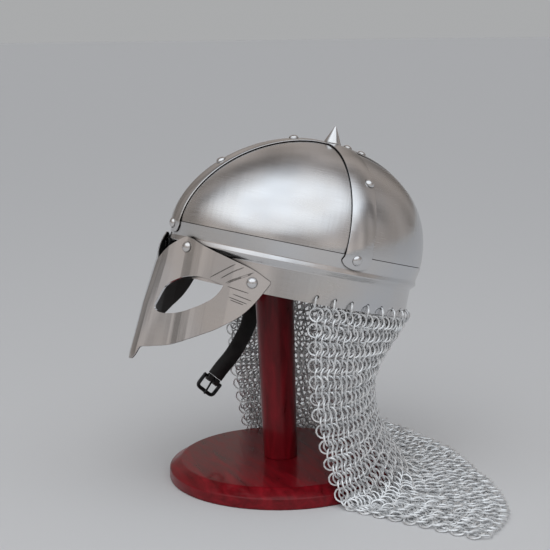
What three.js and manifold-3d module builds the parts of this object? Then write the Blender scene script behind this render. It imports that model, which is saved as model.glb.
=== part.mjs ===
// Spangenhelm helmet with a mail curtain, tipped back on a turned wooden stand.
// Millimetres, +Z up, floor at z = 0. The helmet faces -Y, the wearer's left is +X.
import * as THREE from 'three';
import { mergeVertices } from 'three/addons/utils/BufferGeometryUtils.js';
import Module from 'manifold-3d';

const wasm = await Module();
wasm.setup();

// general clearances
const GAP = 0.4;
const SEGMENTS = 56;

// stand
const BASE_RADIUS = 101.6;
const BASE_WALL = 9.7;
const BASE_TOP_RADIUS = 90.6;
const BASE_HEIGHT = 16.6;
const POST_FOOT_RADIUS = 15.4;
const POST_HEAD_RADIUS = 18.8;
const POST_LEAN = 1.6;
const CAP_RADIUS = 24;
const CAP_THICKNESS = 14;
const CAP_BEVEL = 3;
const CAP_CLEARANCE = 0.6;

// how the helmet sits
const HELMET_TILT = 14.2;
const HELMET_LEAN = -3.1;
const RIM_CENTRE_Y = 8.2;
const RIM_CENTRE_Z = 167.3;

// helmet, from the rim upwards
const RIM_HALF_LENGTH = 112.3;
const RIM_HALF_WIDTH = 96.5;
const PLAN_POWER = 1.9;
const BAND_HEIGHT = 45.5;
const BAND_THICKNESS = 1.8;
const BAND_FLARE = 5.8;
const RIDGE_FOOT = 24.6;
const RIDGE_EDGE = 29.3;
const RIDGE_TOP = 33.6;
const RIDGE_DEPTH = 4.4;
const RIDGE_TOP_DEPTH = 3.4;
const PLATE_SKIRT = 7;
const DOME_STEP = 0.6;
const STRIP_STEP = 1.4;
const PLATE_THICKNESS = 1.6;
const DOME_RISE = 92.4;
const SIDE_POWER = 1.9;
const FRONT_POWER = 1.76;
const REAR_POWER = 2.4;
const PLATE_SEAM_Y = 13;
const STRIP_THICKNESS = 1.6;
const CREST_HALF_WIDTH = 10.8;
const CREST_END = 36;
const SIDE_STRIP_FOOT_Y = 11.5;
const SIDE_STRIP_CROWN_Y = 17;
const SIDE_STRIP_HALF_WIDTH = 12.6;
const SIDE_STRIP_END = 34;
const RIVET_RADIUS = 4.4;
const RIVET_HEIGHT = 3.1;
const SPIKE_RADIUS = 8;
const SPIKE_HEIGHT = 16;
const SPIKE_NECK = 7.5;
const SPIKE_FOOT = 0.8;
const SPIKE_TIP_RADIUS = 0.4;
const SPIKE_Y = 14.9;
const MAIL_HOLES = 22;
const MAIL_HOLE_RADIUS = 1.6;
const MAIL_HOLE_HEIGHT = 6;
const MAIL_HOLE_DRILL = 12;
const MAIL_START_ANGLE = 81;
// along: share of the crest band from its front end
const CREST_RIVETS = [0.03, 0.26, 0.442, 0.576, 0.615, 0.8, 0.965];
// climb: share of the side band from its lower end, across: share of its half width
const SIDE_RIVETS = [{ climb: 0.05, across: -0.1 }, { climb: 0.55, across: 0.6 }];

// spectacle guard
const GUARD_THICKNESS = 1.6;
const GUARD_HALF_WIDTH = 83.5;
const GUARD_FRONT_OFFSET = 4.95;
const GUARD_TAIL_OFFSET = 0.45;
const GUARD_BLEND_START = 48;
const GUARD_BLEND_END = 74;
const NOSE_RISE = 8.5;
const NOSE_HALF_WIDTH = 30;
const NOSE_POWER = 1.5;
const BROW_HEIGHT = 34;
const NOSE_DROP = 79;
const EYE_INNER = 13.6;
const EYE_WIDTH = 49.2;
const EYE_HEIGHT = 37.7;
const EYE_TOP = 3.3;
// the nose piece stands further out from one depth to the next: shares of NOSE_DROP and NOSE_RISE
const NOSE_FLARES = [{ from: -0.12, to: 0.38, out: 0.594 }, { from: 0.38, to: 0.95, out: 0.377 }];
// across: share of GUARD_HALF_WIDTH, up: share of BROW_HEIGHT
const GUARD_RIVETS = [
  { across: 0.344, up: 0.747 }, { across: -0.344, up: 0.747 },
  { across: 0.909, up: 0.209 }, { across: -0.909, up: 0.209 },
];

// across: share of GUARD_HALF_WIDTH, up: share of BROW_HEIGHT
const GUARD_TOP = [
  { across: 0, up: 0.3 }, { across: 0.061, up: 0.431 }, { across: 0.109, up: 0.562 },
  { across: 0.17, up: 0.713 }, { across: 0.221, up: 0.822 }, { across: 0.264, up: 0.912 },
  { across: 0.322, up: 1 }, { across: 0.4, up: 0.975 }, { across: 0.475, up: 0.915 },
  { across: 0.7, up: 0.74 }, { across: 0.9, up: 0.53 }, { across: 1, up: 0.32 },
];
// across: share of GUARD_HALF_WIDTH, down: share of NOSE_DROP
const GUARD_BOTTOM = [
  { across: 0, down: 1 }, { across: 0.035, down: 0.992 }, { across: 0.065, down: 0.968 },
  { across: 0.088, down: 0.93 }, { across: 0.102, down: 0.88 }, { across: 0.115, down: 0.848 },
  { across: 0.186, down: 0.82 }, { across: 0.323, down: 0.763 }, { across: 0.5, down: 0.673 },
  { across: 0.66, down: 0.56 },
  { across: 0.785, down: 0.435 }, { across: 0.86, down: 0.32 }, { across: 0.915, down: 0.197 },
  { across: 0.955, down: 0.068 }, { across: 1, down: -0.115 },
];
// across: share of EYE_WIDTH from the nose, down: share of EYE_HEIGHT from the eye's top
const EYE_OUTLINE = [
  { across: 0, down: 0.886 }, { across: 0.024, down: 0.708 }, { across: 0.077, down: 0.427 },
  { across: 0.148, down: 0.284 }, { across: 0.23, down: 0.186 }, { across: 0.339, down: 0.09 },
  { across: 0.502, down: 0.032 }, { across: 0.671, down: 0 }, { across: 0.795, down: 0.003 },
  { across: 0.907, down: 0.04 }, { across: 1, down: 0.085 }, { across: 0.98, down: 0.196 },
  { across: 0.941, down: 0.326 }, { across: 0.878, down: 0.464 }, { across: 0.772, down: 0.605 },
  { across: 0.644, down: 0.73 }, { across: 0.518, down: 0.825 }, { across: 0.37, down: 0.905 },
  { across: 0.234, down: 0.963 }, { across: 0.136, down: 0.99 }, { across: 0.053, down: 0.963 },
];

// mail curtain, its left half; the right half mirrors it
const MAIL_THICKNESS = 3;
const MAIL_COLUMNS = 11;
const MAIL_ROWS = 17;
const MAIL_TOP_DROP = 2.2;
const MAIL_REACH = 224;
const MAIL_TRAIL = 172;
const MAIL_HIP_HEIGHT = 22;
const MAIL_FLOOR_GAP = 0.4;
// Level by level from the rim down, as shares of each level's own sizes along x, y and z.
// around: share of the way from the front edge to the middle of the back
const MAIL_LEVELS = [
  {
    sizes: [RIM_HALF_WIDTH, RIM_HALF_LENGTH, RIM_CENTRE_Z],
    rows: [
      { around: 0, x: 1.026, y: -0.089, z: 0.765 }, { around: 0.25, x: 1.005, y: 0.214, z: 0.669 },
      { around: 0.5, x: 0.829, y: 0.445, z: 0.61 }, { around: 0.75, x: 0.466, y: 0.623, z: 0.574 },
      { around: 1, x: 0, y: 0.695, z: 0.55 },
    ],
  },
  {
    sizes: [RIM_HALF_WIDTH, RIM_HALF_LENGTH, RIM_CENTRE_Z],
    rows: [
      { around: 0, x: 1.031, y: -0.045, z: 0.43 }, { around: 0.25, x: 0.984, y: 0.232, z: 0.383 },
      { around: 0.5, x: 0.808, y: 0.481, z: 0.359 }, { around: 0.75, x: 0.446, y: 0.668, z: 0.347 },
      { around: 1, x: 0, y: 0.739, z: 0.335 },
    ],
  },
  {
    sizes: [BASE_RADIUS, BASE_RADIUS, MAIL_HIP_HEIGHT],
    rows: [
      { around: 0, x: 1.043, y: 0.069, z: 1 }, { around: 0.25, x: 1.004, y: 0.335, z: 0.91 },
      { around: 0.5, x: 0.787, y: 0.699, z: 0.864 }, { around: 0.75, x: 0.453, y: 0.945, z: 0.818 },
      { around: 1, x: 0, y: 1.043, z: 0.818 },
    ],
  },
  {
    sizes: [BASE_RADIUS, BASE_RADIUS, MAIL_THICKNESS],
    rows: [
      { around: 0, x: 1.112, y: 0.128, z: 1 }, { around: 0.25, x: 1.112, y: 0.404, z: 1 },
      { around: 0.5, x: 0.866, y: 0.807, z: 1 }, { around: 0.75, x: 0.482, y: 1.063, z: 1 },
      { around: 1, x: 0, y: 1.161, z: 1 },
    ],
  },
  {
    sizes: [MAIL_REACH, MAIL_TRAIL, MAIL_THICKNESS],
    rows: [
      { around: 0, x: 1, y: 0.477, z: 0.667 }, { around: 0.25, x: 0.83, y: 0.721, z: 0.667 },
      { around: 0.5, x: 0.58, y: 0.866, z: 0.667 }, { around: 0.75, x: 0.295, y: 0.948, z: 0.667 },
      { around: 1, x: 0, y: 1, z: 0.667 },
    ],
  },
];

// chin strap and buckle, on the wearer's right
const STRAP_WIDTH = 16;
const STRAP_THICKNESS = 2.4;
const STRAP_RISE = 15.7;
const STRAP_DROP = 106.6;
const STRAP_BACK = 15.5;
const STRAP_SWING = 48.7;
// in: share of RIM_HALF_WIDTH from the middle, forward: share of STRAP_SWING from its upper end,
// down: share of STRAP_DROP from its upper end
const STRAP_PATH = [
  { in: 0.966, forward: 0, down: 0 }, { in: 0.96, forward: 0.072, down: 0.169 },
  { in: 0.922, forward: 0.142, down: 0.347 }, { in: 0.87, forward: 0.253, down: 0.5535 },
  { in: 0.839, forward: 0.462, down: 0.708 }, { in: 0.829, forward: 0.649, down: 0.8235 },
  { in: 0.829, forward: 0.873, down: 0.933 }, { in: 0.829, forward: 1, down: 1 },
];
const FOLD_WIDTH = 4.6;
const FOLD_THICKNESS = 2;
const FOLD_SIDE_GAP = 0.6;
const FOLD_NECK = 0.7;
const BUCKLE_WIDTH = 23;
const BUCKLE_LENGTH = 15;
const BUCKLE_BAR = 3;
const BUCKLE_PIN_RADIUS = 1.2;
const PRONG_EYE = 2.7;
const PRONG_WIDTH = 2.6;
const PRONG_THICKNESS = 1.6;
const PRONG_OVERREACH = 1.8;
const PRONG_REST = 14;
const FRAME_BACK = 2.2;

const COLOURS = {
  steel: { color: 0xb4b6ba, roughness: 0.28, metalness: 1 },
  rivet: { color: 0xc9cacc, roughness: 0.2, metalness: 1 },
  mail: { color: 0xa9abac, roughness: 0.45, metalness: 1 },
  wood: { color: 0x5c0d16, roughness: 0.25, metalness: 0 },
  leather: { color: 0x0d0d0f, roughness: 0.55, metalness: 0 },
  iron: { color: 0x2b2b2d, roughness: 0.4, metalness: 1 },
};

const rad = (degrees) => (degrees * Math.PI) / 180;
const lerp = (a, b, t) => a + (b - a) * t;
const clamp01 = (t) => Math.min(1, Math.max(0, t));

function signedPower(value, power) {
  return Math.sign(value) * Math.abs(value) ** power;
}

// reads a table whose rows are sorted by one column, straight lines between rows
function readTable(table, column, at, result) {
  if (at <= table[0][column]) {
    return table[0][result];
  }
  for (let i = 1; i < table.length; i += 1) {
    if (at <= table[i][column]) {
      const before = table[i - 1];
      const after = table[i];
      const t = (at - before[column]) / (after[column] - before[column]);
      return lerp(before[result], after[result], t);
    }
  }
  return table[table.length - 1][result];
}

function material(look) {
  return new THREE.MeshStandardMaterial(COLOURS[look]);
}

function toManifold(geometry) {
  const bare = geometry.clone();
  bare.deleteAttribute('normal');
  bare.deleteAttribute('uv');
  const merged = mergeVertices(bare, 1e-4);
  const mesh = new wasm.Mesh({
    numProp: 3,
    vertProperties: Float32Array.from(merged.attributes.position.array),
    triVerts: Uint32Array.from(merged.index.array),
  });
  return new wasm.Manifold(mesh);
}

function fromManifold(solid) {
  const mesh = solid.getMesh();
  const geometry = new THREE.BufferGeometry();
  geometry.setAttribute('position', new THREE.BufferAttribute(Float32Array.from(mesh.vertProperties), 3));
  geometry.setIndex(new THREE.BufferAttribute(Uint32Array.from(mesh.triVerts), 1));
  geometry.computeVertexNormals();
  return geometry;
}

// closed body from rings or strips of points; turns the faces outwards
function bodyFrom(points, faces) {
  let volume = 0;
  for (const [a, b, c] of faces) {
    const [p, q, r] = [points[a], points[b], points[c]];
    volume += p[0] * (q[1] * r[2] - q[2] * r[1]) - p[1] * (q[0] * r[2] - q[2] * r[0])
      + p[2] * (q[0] * r[1] - q[1] * r[0]);
  }
  const ordered = volume > 0 ? faces : faces.map(([a, b, c]) => [a, c, b]);
  const geometry = new THREE.BufferGeometry();
  geometry.setAttribute('position', new THREE.Float32BufferAttribute(points.flat(), 3));
  geometry.setIndex(ordered.flat());
  geometry.computeVertexNormals();
  return geometry;
}

// a wall between two grids of points with the same rows and columns
function slab(rows, columns, outer, inner) {
  const points = [];
  const faces = [];
  for (const side of [outer, inner]) {
    for (let i = 0; i <= rows; i += 1) {
      for (let j = 0; j <= columns; j += 1) {
        points.push(side(i, j));
      }
    }
  }
  const width = columns + 1;
  const half = (rows + 1) * width;
  const at = (s, i, j) => s * half + i * width + j;
  const quad = (a, b, c, d) => faces.push([a, b, c], [a, c, d]);
  for (let i = 0; i < rows; i += 1) {
    for (let j = 0; j < columns; j += 1) {
      quad(at(0, i, j), at(0, i, j + 1), at(0, i + 1, j + 1), at(0, i + 1, j));
      quad(at(1, i, j), at(1, i + 1, j), at(1, i + 1, j + 1), at(1, i, j + 1));
    }
  }
  for (let j = 0; j < columns; j += 1) {
    quad(at(0, 0, j + 1), at(0, 0, j), at(1, 0, j), at(1, 0, j + 1));
    quad(at(0, rows, j), at(0, rows, j + 1), at(1, rows, j + 1), at(1, rows, j));
  }
  for (let i = 0; i < rows; i += 1) {
    quad(at(0, i, 0), at(0, i + 1, 0), at(1, i + 1, 0), at(1, i, 0));
    quad(at(0, i + 1, columns), at(0, i, columns), at(1, i, columns), at(1, i + 1, columns));
  }
  return bodyFrom(points, faces);
}

// closed body of rings joined one to the next, the last one back to the first
function ringBody(rings, poles = []) {
  const points = rings.flat();
  const faces = [];
  const n = rings[0].length;
  for (let i = 0; i < rings.length; i += 1) {
    if (poles.length && i === poles[0].after) {
      continue;
    }
    const next = (i + 1) % rings.length;
    for (let j = 0; j < n; j += 1) {
      const k = (j + 1) % n;
      faces.push([i * n + j, i * n + k, next * n + k], [i * n + j, next * n + k, next * n + j]);
    }
  }
  if (poles.length) {
    const first = poles[0].after;
    const top = points.length;
    points.push(poles[0].point, poles[1].point);
    for (let j = 0; j < n; j += 1) {
      const k = (j + 1) % n;
      faces.push([first * n + j, first * n + k, top]);
      faces.push([(first + 1) * n + k, (first + 1) * n + j, top + 1]);
    }
  }
  return bodyFrom(points, faces);
}

// plan of the helmet: angle 0 is the front, 90 the wearer's left
function planPoint(degrees, offset) {
  const a = rad(degrees);
  const e = 2 / PLAN_POWER;
  return [
    (RIM_HALF_WIDTH + offset) * signedPower(Math.sin(a), e),
    -(RIM_HALF_LENGTH + offset) * signedPower(Math.cos(a), e),
  ];
}

function ring(offset, z) {
  return Array.from({ length: SEGMENTS }, (_, j) => {
    const [x, y] = planPoint((360 * j) / SEGMENTS, offset);
    return [x, y, z];
  });
}

// outer face of the brow band: height above the rim against how far it stands out
const BAND_PROFILE = [
  { z: 0, out: 0 }, { z: RIDGE_FOOT, out: 0 }, { z: RIDGE_EDGE, out: RIDGE_DEPTH },
  { z: RIDGE_TOP, out: RIDGE_TOP_DEPTH }, { z: BAND_HEIGHT, out: BAND_FLARE },
];
const bandOut = (z) => readTable(BAND_PROFILE, 'z', z, 'out');
const DOME_BASE = BAND_HEIGHT + DOME_STEP;
const DOME_OUT = BAND_FLARE - DOME_STEP;

// height of the dome's surface over a place in plan, for a surface that is moved out by offset
function domeHeight(x, y, offset) {
  const ax = Math.abs(x / (RIM_HALF_WIDTH + DOME_OUT + offset)) ** PLAN_POWER;
  const ay = Math.abs(y / (RIM_HALF_LENGTH + DOME_OUT + offset)) ** PLAN_POWER;
  const share = Math.min(1, (ax + ay) ** (1 / PLAN_POWER));
  const along = ay / (ax + ay + 1e-9);
  const power = lerp(SIDE_POWER, y < 0 ? FRONT_POWER : REAR_POWER, along);
  return DOME_BASE + (DOME_RISE + offset) * (1 - share ** power) ** (1 / power);
}

function domePoint(degrees, climb, offset) {
  const a = rad(degrees);
  const along = Math.cos(a) ** 2;
  const power = lerp(SIDE_POWER, Math.cos(a) > 0 ? FRONT_POWER : REAR_POWER, along);
  const share = Math.cos(rad(climb)) ** (2 / power);
  const [x, y] = planPoint(degrees, DOME_OUT + offset);
  return [x * share, y * share, DOME_BASE + (DOME_RISE + offset) * Math.sin(rad(climb)) ** (2 / power)];
}

function domeShell() {
  const climbs = [3, 11, 21, 32, 43, 54, 65, 77];
  const low = BAND_HEIGHT - PLATE_SKIRT;
  const tuck = (z) => bandOut(z) - BAND_THICKNESS - GAP;
  const ringAt = (climb, offset) => Array.from({ length: SEGMENTS }, (_, j) => (
    domePoint((360 * j) / SEGMENTS, climb, offset)));
  const outer = [ring(tuck(low), low), ring(tuck(BAND_HEIGHT), BAND_HEIGHT),
    ring(tuck(BAND_HEIGHT), BAND_HEIGHT + GAP), ring(DOME_OUT, lerp(BAND_HEIGHT + GAP, DOME_BASE, 0.5)),
    ...climbs.map((c) => ringAt(c, 0))];
  const inner = [...climbs.map((c) => ringAt(c, -PLATE_THICKNESS)).reverse(),
    ring(tuck(BAND_HEIGHT) - PLATE_THICKNESS, BAND_HEIGHT), ring(tuck(low) - PLATE_THICKNESS, low)];
  const crown = DOME_BASE + DOME_RISE;
  return ringBody([...outer, ...inner], [
    { after: outer.length - 1, point: [0, 0, crown] },
    { after: outer.length, point: [0, 0, crown - PLATE_THICKNESS] },
  ]);
}

function boxBetween(from, to) {
  const box = new THREE.BoxGeometry(to[0] - from[0], to[1] - from[1], to[2] - from[2]);
  box.translate((from[0] + to[0]) / 2, (from[1] + to[1]) / 2, (from[2] + to[2]) / 2);
  return box;
}

function domePlates() {
  const shell = toManifold(domeShell());
  const reach = 2 * (RIM_HALF_LENGTH + RIM_HALF_WIDTH);
  const plates = [];
  for (const [sx, sy] of [[1, -1], [-1, -1], [-1, 1], [1, 1]]) {
    const xs = [sx * GAP, sx * reach].sort((a, b) => a - b);
    const ys = [PLATE_SEAM_Y + sy * GAP, sy * reach].sort((a, b) => a - b);
    const quarter = boxBetween([xs[0], ys[0], -reach], [xs[1], ys[1], reach]);
    plates.push(fromManifold(shell.intersect(toManifold(quarter))));
  }
  return plates;
}

function holeAngles() {
  const span = 360 - 2 * MAIL_START_ANGLE;
  return Array.from({ length: MAIL_HOLES }, (_, i) => MAIL_START_ANGLE + (span * i) / (MAIL_HOLES - 1));
}

function browBand() {
  const outer = BAND_PROFILE.map((row) => ring(row.out, row.z));
  const inner = [BAND_HEIGHT, RIDGE_TOP, RIDGE_EDGE, RIDGE_FOOT, 0].map((z) => (
    ring(bandOut(z) - BAND_THICKNESS, z)));
  let solid = toManifold(ringBody([...outer, ...inner]));
  for (const angle of holeAngles()) {
    const drill = new THREE.CylinderGeometry(MAIL_HOLE_RADIUS, MAIL_HOLE_RADIUS, MAIL_HOLE_DRILL, 6);
    const [x, y] = planPoint(angle, 0);
    const [nx, ny] = [x / RIM_HALF_WIDTH ** 2, y / RIM_HALF_LENGTH ** 2];
    drill.rotateZ(Math.PI / 2);
    drill.rotateZ(Math.atan2(ny, nx));
    drill.translate(x, y, MAIL_HOLE_HEIGHT);
    solid = solid.subtract(toManifold(drill));
  }
  return fromManifold(solid);
}

// the share of a strip's run that lies on the brow band, and its stations from end to end
const CREST_FOOT = 0.07;
const SIDE_FOOT = 0.12;
// how far each strip swings over the dome, in degrees, and how it narrows
const CREST_SWING = 84;
const SIDE_SWING_START = 7;
const SIDE_SWING_END = 82.6;
const SIDE_STRIP_TAPER = 1.2;
const SIDE_STRIP_CLIP = 0.42;
const SIDE_FOOT_FLARE = 3;

function stations(foot, count, bothEnds) {
  const far = bothEnds ? 1 - foot : 1;
  const middle = Array.from({ length: count + 1 }, (_, i) => lerp(foot, far, i / count));
  const near = [0, foot / 3, (2 * foot) / 3];
  return bothEnds ? [...near, ...middle, 1 - (2 * foot) / 3, 1 - foot / 3, 1] : [...near, ...middle];
}

// crest strip surface: along runs from the front end to the rear end, 0 to 1
function crestPoint(along, x, offset) {
  const foot = CREST_FOOT;
  const side = Math.abs(x / (RIM_HALF_WIDTH + DOME_OUT)) ** PLAN_POWER;
  const pull = (1 - side) ** (1 / PLAN_POWER);
  const ends = along < foot - 1e-6 || along > 1 - foot + 1e-6;
  const sign = along < 0.5 ? -1 : 1;
  if (ends) {
    const t = (along < 0.5 ? along : 1 - along) / foot;
    const z = lerp(CREST_END, BAND_HEIGHT + STRIP_STEP, t * 1.5);
    const out = bandOut(Math.min(z, BAND_HEIGHT)) + GAP + offset;
    return [x, sign * (RIM_HALF_LENGTH + out) * pull, z];
  }
  const swing = rad(lerp(-CREST_SWING, CREST_SWING, (along - foot) / (1 - 2 * foot)));
  const y = (RIM_HALF_LENGTH + DOME_OUT + GAP + offset) * Math.sin(swing) * pull;
  return [x, y, domeHeight(x, y, GAP + offset)];
}

// side strip surface: climb runs from the lower end to the crest, 0 to 1
function sidePoint(sign, climb, across, offset) {
  const foot = SIDE_FOOT;
  const turn = Math.max(0, (climb - foot) / (1 - foot));
  const swing = rad(lerp(SIDE_SWING_START, SIDE_SWING_END, turn));
  const clip = climb < foot ? 1 - SIDE_STRIP_CLIP * (1 - climb / foot) ** 2 : 1;
  const y = lerp(SIDE_STRIP_FOOT_Y, SIDE_STRIP_CROWN_Y, Math.sin(swing))
    + across * clip * lerp(SIDE_STRIP_HALF_WIDTH, SIDE_STRIP_HALF_WIDTH - SIDE_STRIP_TAPER, turn)
    - SIDE_FOOT_FLARE * clamp01(1 - climb / foot) * (1 - across) / 2;
  const pull = (out) => (1 - Math.abs(y / (RIM_HALF_LENGTH + out)) ** PLAN_POWER) ** (1 / PLAN_POWER);
  if (climb < foot) {
    const z = lerp(SIDE_STRIP_END, BAND_HEIGHT + STRIP_STEP, (1.5 * climb) / foot);
    const out = bandOut(Math.min(z, BAND_HEIGHT)) + GAP + offset;
    return [sign * (RIM_HALF_WIDTH + out) * pull(out), y, z];
  }
  const out = DOME_OUT + GAP + offset;
  const x = (RIM_HALF_WIDTH + out) * Math.cos(swing) * pull(out);
  return [sign * x, y, domeHeight(x, y, GAP + offset)];
}

function guardOffset(x) {
  const t = clamp01((Math.abs(x) - GUARD_BLEND_START) / (GUARD_BLEND_END - GUARD_BLEND_START));
  return lerp(GUARD_FRONT_OFFSET, GUARD_TAIL_OFFSET, t);
}

// x is measured on the guard's outer face; its inner face lies square behind it
function guardPoint(outerX, z, out) {
  const offset = guardOffset(outerX) + out;
  const outerOffset = offset - out + GUARD_THICKNESS;
  const x = (outerX * (RIM_HALF_WIDTH + offset)) / (RIM_HALF_WIDTH + outerOffset);
  const wall = (RIM_HALF_LENGTH + offset)
    * (1 - Math.abs(x / (RIM_HALF_WIDTH + offset)) ** PLAN_POWER) ** (1 / PLAN_POWER);
  const depth = -z / NOSE_DROP;
  let rise = 1;
  for (const flare of NOSE_FLARES) {
    rise += flare.out * clamp01((depth - flare.from) / (flare.to - flare.from));
  }
  const bump = NOSE_RISE * rise * Math.max(0, 1 - (x / NOSE_HALF_WIDTH) ** 2) ** NOSE_POWER;
  return [x, -(wall + bump), z];
}

function guardGeometry() {
  const stations = [0, 0.035, 0.065, 0.088, 0.102, 0.125, 0.16, 0.2, 0.25, 0.31, 0.36, 0.42, 0.475, 0.54, 0.6,
    0.66, 0.72, 0.785, 0.84, 0.88, 0.915, 0.955, 1];
  const xs = [...stations.slice(1).reverse().map((s) => -s), ...stations].map((s) => s * GUARD_HALF_WIDTH);
  const rows = 6;
  const at = (out) => (i, j) => {
    const share = Math.abs(xs[j]) / GUARD_HALF_WIDTH;
    const top = readTable(GUARD_TOP, 'across', share, 'up') * BROW_HEIGHT;
    const bottom = -readTable(GUARD_BOTTOM, 'across', share, 'down') * NOSE_DROP;
    return guardPoint(xs[j], lerp(bottom, top, i / rows), out);
  };
  let solid = toManifold(slab(rows, xs.length - 1, at(GUARD_THICKNESS), at(0)));
  for (const side of [1, -1]) {
    const corners = EYE_OUTLINE.map((row) => new THREE.Vector2(
      side * (EYE_INNER + row.across * EYE_WIDTH), EYE_TOP - row.down * EYE_HEIGHT));
    const cutter = new THREE.ExtrudeGeometry(
      new THREE.Shape(corners), { depth: 2 * RIM_HALF_LENGTH, bevelEnabled: false });
    cutter.rotateX(Math.PI / 2);
    solid = solid.subtract(toManifold(cutter));
  }
  return fromManifold(solid);
}

// a domed head with a flat back, its back's centre at the place and its top along the direction
function rivetGeometry(place, direction) {
  const profile = [new THREE.Vector2(0, 0), new THREE.Vector2(RIVET_RADIUS, 0),
    new THREE.Vector2(RIVET_RADIUS * 0.93, RIVET_HEIGHT * 0.42),
    new THREE.Vector2(RIVET_RADIUS * 0.6, RIVET_HEIGHT * 0.82), new THREE.Vector2(0, RIVET_HEIGHT)];
  const head = new THREE.LatheGeometry(profile, 10);
  const turn = new THREE.Quaternion().setFromUnitVectors(
    new THREE.Vector3(0, 1, 0), new THREE.Vector3(...direction).normalize());
  head.applyQuaternion(turn);
  head.translate(...place);
  return head;
}

// outward normal of a surface given by two parameters, by small steps
function surfaceNormal(surface, u, v) {
  const step = 1e-3;
  const a = new THREE.Vector3(...surface(u + step, v)).sub(new THREE.Vector3(...surface(u - step, v)));
  const b = new THREE.Vector3(...surface(u, v + step)).sub(new THREE.Vector3(...surface(u, v - step)));
  return a.cross(b).normalize();
}

function rivetOn(surface, u, v, lift) {
  const place = new THREE.Vector3(...surface(u, v));
  const normal = surfaceNormal(surface, u, v);
  const outwards = new THREE.Vector3(place.x, place.y, place.z - BAND_HEIGHT);
  if (normal.dot(outwards) < 0) {
    normal.negate();
  }
  place.addScaledVector(normal, lift);
  return rivetGeometry(place.toArray(), normal.toArray());
}

const helmet = new THREE.Group();
helmet.name = 'helmet';
helmet.rotation.set(rad(-HELMET_TILT), rad(HELMET_LEAN), 0, 'XYZ');
helmet.position.set(0, RIM_CENTRE_Y, RIM_CENTRE_Z);
helmet.updateMatrix();

function mailLevelPoints(sign, around) {
  const angle = lerp(MAIL_START_ANGLE, 180, around);
  const [x, y] = planPoint(angle, -BAND_THICKNESS / 2);
  const top = new THREE.Vector3(sign * x, y, -MAIL_TOP_DROP).applyMatrix4(helmet.matrix);
  const points = [top];
  for (const { sizes, rows } of MAIL_LEVELS) {
    const places = rows.map((row) => new THREE.Vector3(row.x * sizes[0], row.y * sizes[1], row.z * sizes[2]));
    const point = new THREE.CatmullRomCurve3(places, false, 'centripetal').getPoint(around);
    points.push(point.setX(sign * point.x));
  }
  return points;
}

function mailGrid(sign, columns, rows) {
  const grid = [];
  for (let j = 0; j <= columns; j += 1) {
    const curve = new THREE.CatmullRomCurve3(mailLevelPoints(sign, j / columns), false, 'centripetal');
    grid.push(curve.getSpacedPoints(rows));
  }
  return grid;
}

function mailHalf(sign) {
  const grid = mailGrid(sign, MAIL_COLUMNS, MAIL_ROWS);
  const normalAt = (i, j) => {
    const across = grid[Math.min(j + 1, MAIL_COLUMNS)][i].clone().sub(grid[Math.max(j - 1, 0)][i]);
    const down = grid[j][Math.min(i + 1, MAIL_ROWS)].clone().sub(grid[j][Math.max(i - 1, 0)]);
    return down.cross(across).normalize();
  };
  const side = (half) => (i, j) => {
    const point = grid[j][i].clone().addScaledVector(normalAt(i, j), half * (MAIL_THICKNESS / 2));
    const x = j === MAIL_COLUMNS ? (sign * GAP) / 2 : point.x;
    return [x, point.y, Math.max(point.z, MAIL_FLOOR_GAP)];
  };
  return slab(MAIL_ROWS, MAIL_COLUMNS, side(1), side(-1));
}

// the buckle's own directions: along the strap's end, across its width, and out of its face
const strapPlaces = STRAP_PATH.map((row) => new THREE.Vector3(
  -row.in * RIM_HALF_WIDTH, STRAP_BACK - row.forward * STRAP_SWING,
  RIM_CENTRE_Z + STRAP_RISE - row.down * STRAP_DROP));
const strapCurve = new THREE.CatmullRomCurve3(strapPlaces, false, 'centripetal');
const STRAP_END = strapPlaces[strapPlaces.length - 1];
const FACE = new THREE.Vector3(1, 0, 0);
const ALONG = new THREE.Vector3(0, -0.66, -0.751).normalize();
const ACROSS = new THREE.Vector3().crossVectors(FACE, ALONG).normalize();
const FOLD_RADIUS = BUCKLE_PIN_RADIUS + GAP;
const PIN_REACH = FOLD_RADIUS + FOLD_THICKNESS + FOLD_NECK;
const PIN = STRAP_END.clone().addScaledVector(ALONG, PIN_REACH);

function strapGeometry() {
  const rows = 14;
  const at = (side) => (i, j) => {
    const t = i / rows;
    const point = strapCurve.getPointAt(t);
    const run = strapCurve.getTangentAt(t);
    run.x = 0;
    run.normalize();
    const wide = new THREE.Vector3().crossVectors(FACE, run).normalize();
    point.addScaledVector(wide, (j - 0.5) * STRAP_WIDTH);
    point.x += side * (STRAP_THICKNESS / 2);
    return point.toArray();
  };
  let solid = toManifold(slab(rows, 1, at(1), at(-1)));
  for (const side of [1, -1]) {
    const half = FOLD_WIDTH / 2;
    const centre = side * (PRONG_WIDTH / 2 + FOLD_SIDE_GAP + half);
    const outside = FOLD_RADIUS + FOLD_THICKNESS;
    const profile = [[FOLD_RADIUS, -half], [outside, -half], [outside, half], [FOLD_RADIUS, half]]
      .map(([r, h]) => new THREE.Vector2(r, h));
    profile.push(profile[0].clone());
    const loop = new THREE.LatheGeometry(profile, 14);
    placeOnPin(loop, centre);
    const link = boxBetween(
      [-STRAP_THICKNESS / 2, -PIN_REACH - GAP / 2, -half],
      [STRAP_THICKNESS / 2, -FOLD_RADIUS - FOLD_THICKNESS / 3, half]);
    placeOnPin(link, centre, true);
    solid = solid.add(toManifold(loop)).add(toManifold(link));
  }
  return fromManifold(solid);
}

// puts a shape whose axis is Y (or a box laid out as face, along, across) at the buckle's pin
function placeOnPin(geometry, across, box = false) {
  const basis = new THREE.Matrix4();
  if (box) {
    basis.makeBasis(FACE, ALONG, ACROSS);
  } else {
    basis.makeBasis(FACE, ACROSS, ALONG.clone().negate());
  }
  geometry.applyMatrix4(basis);
  geometry.translate(...PIN.clone().addScaledVector(ACROSS, across).toArray());
  return geometry;
}

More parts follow.
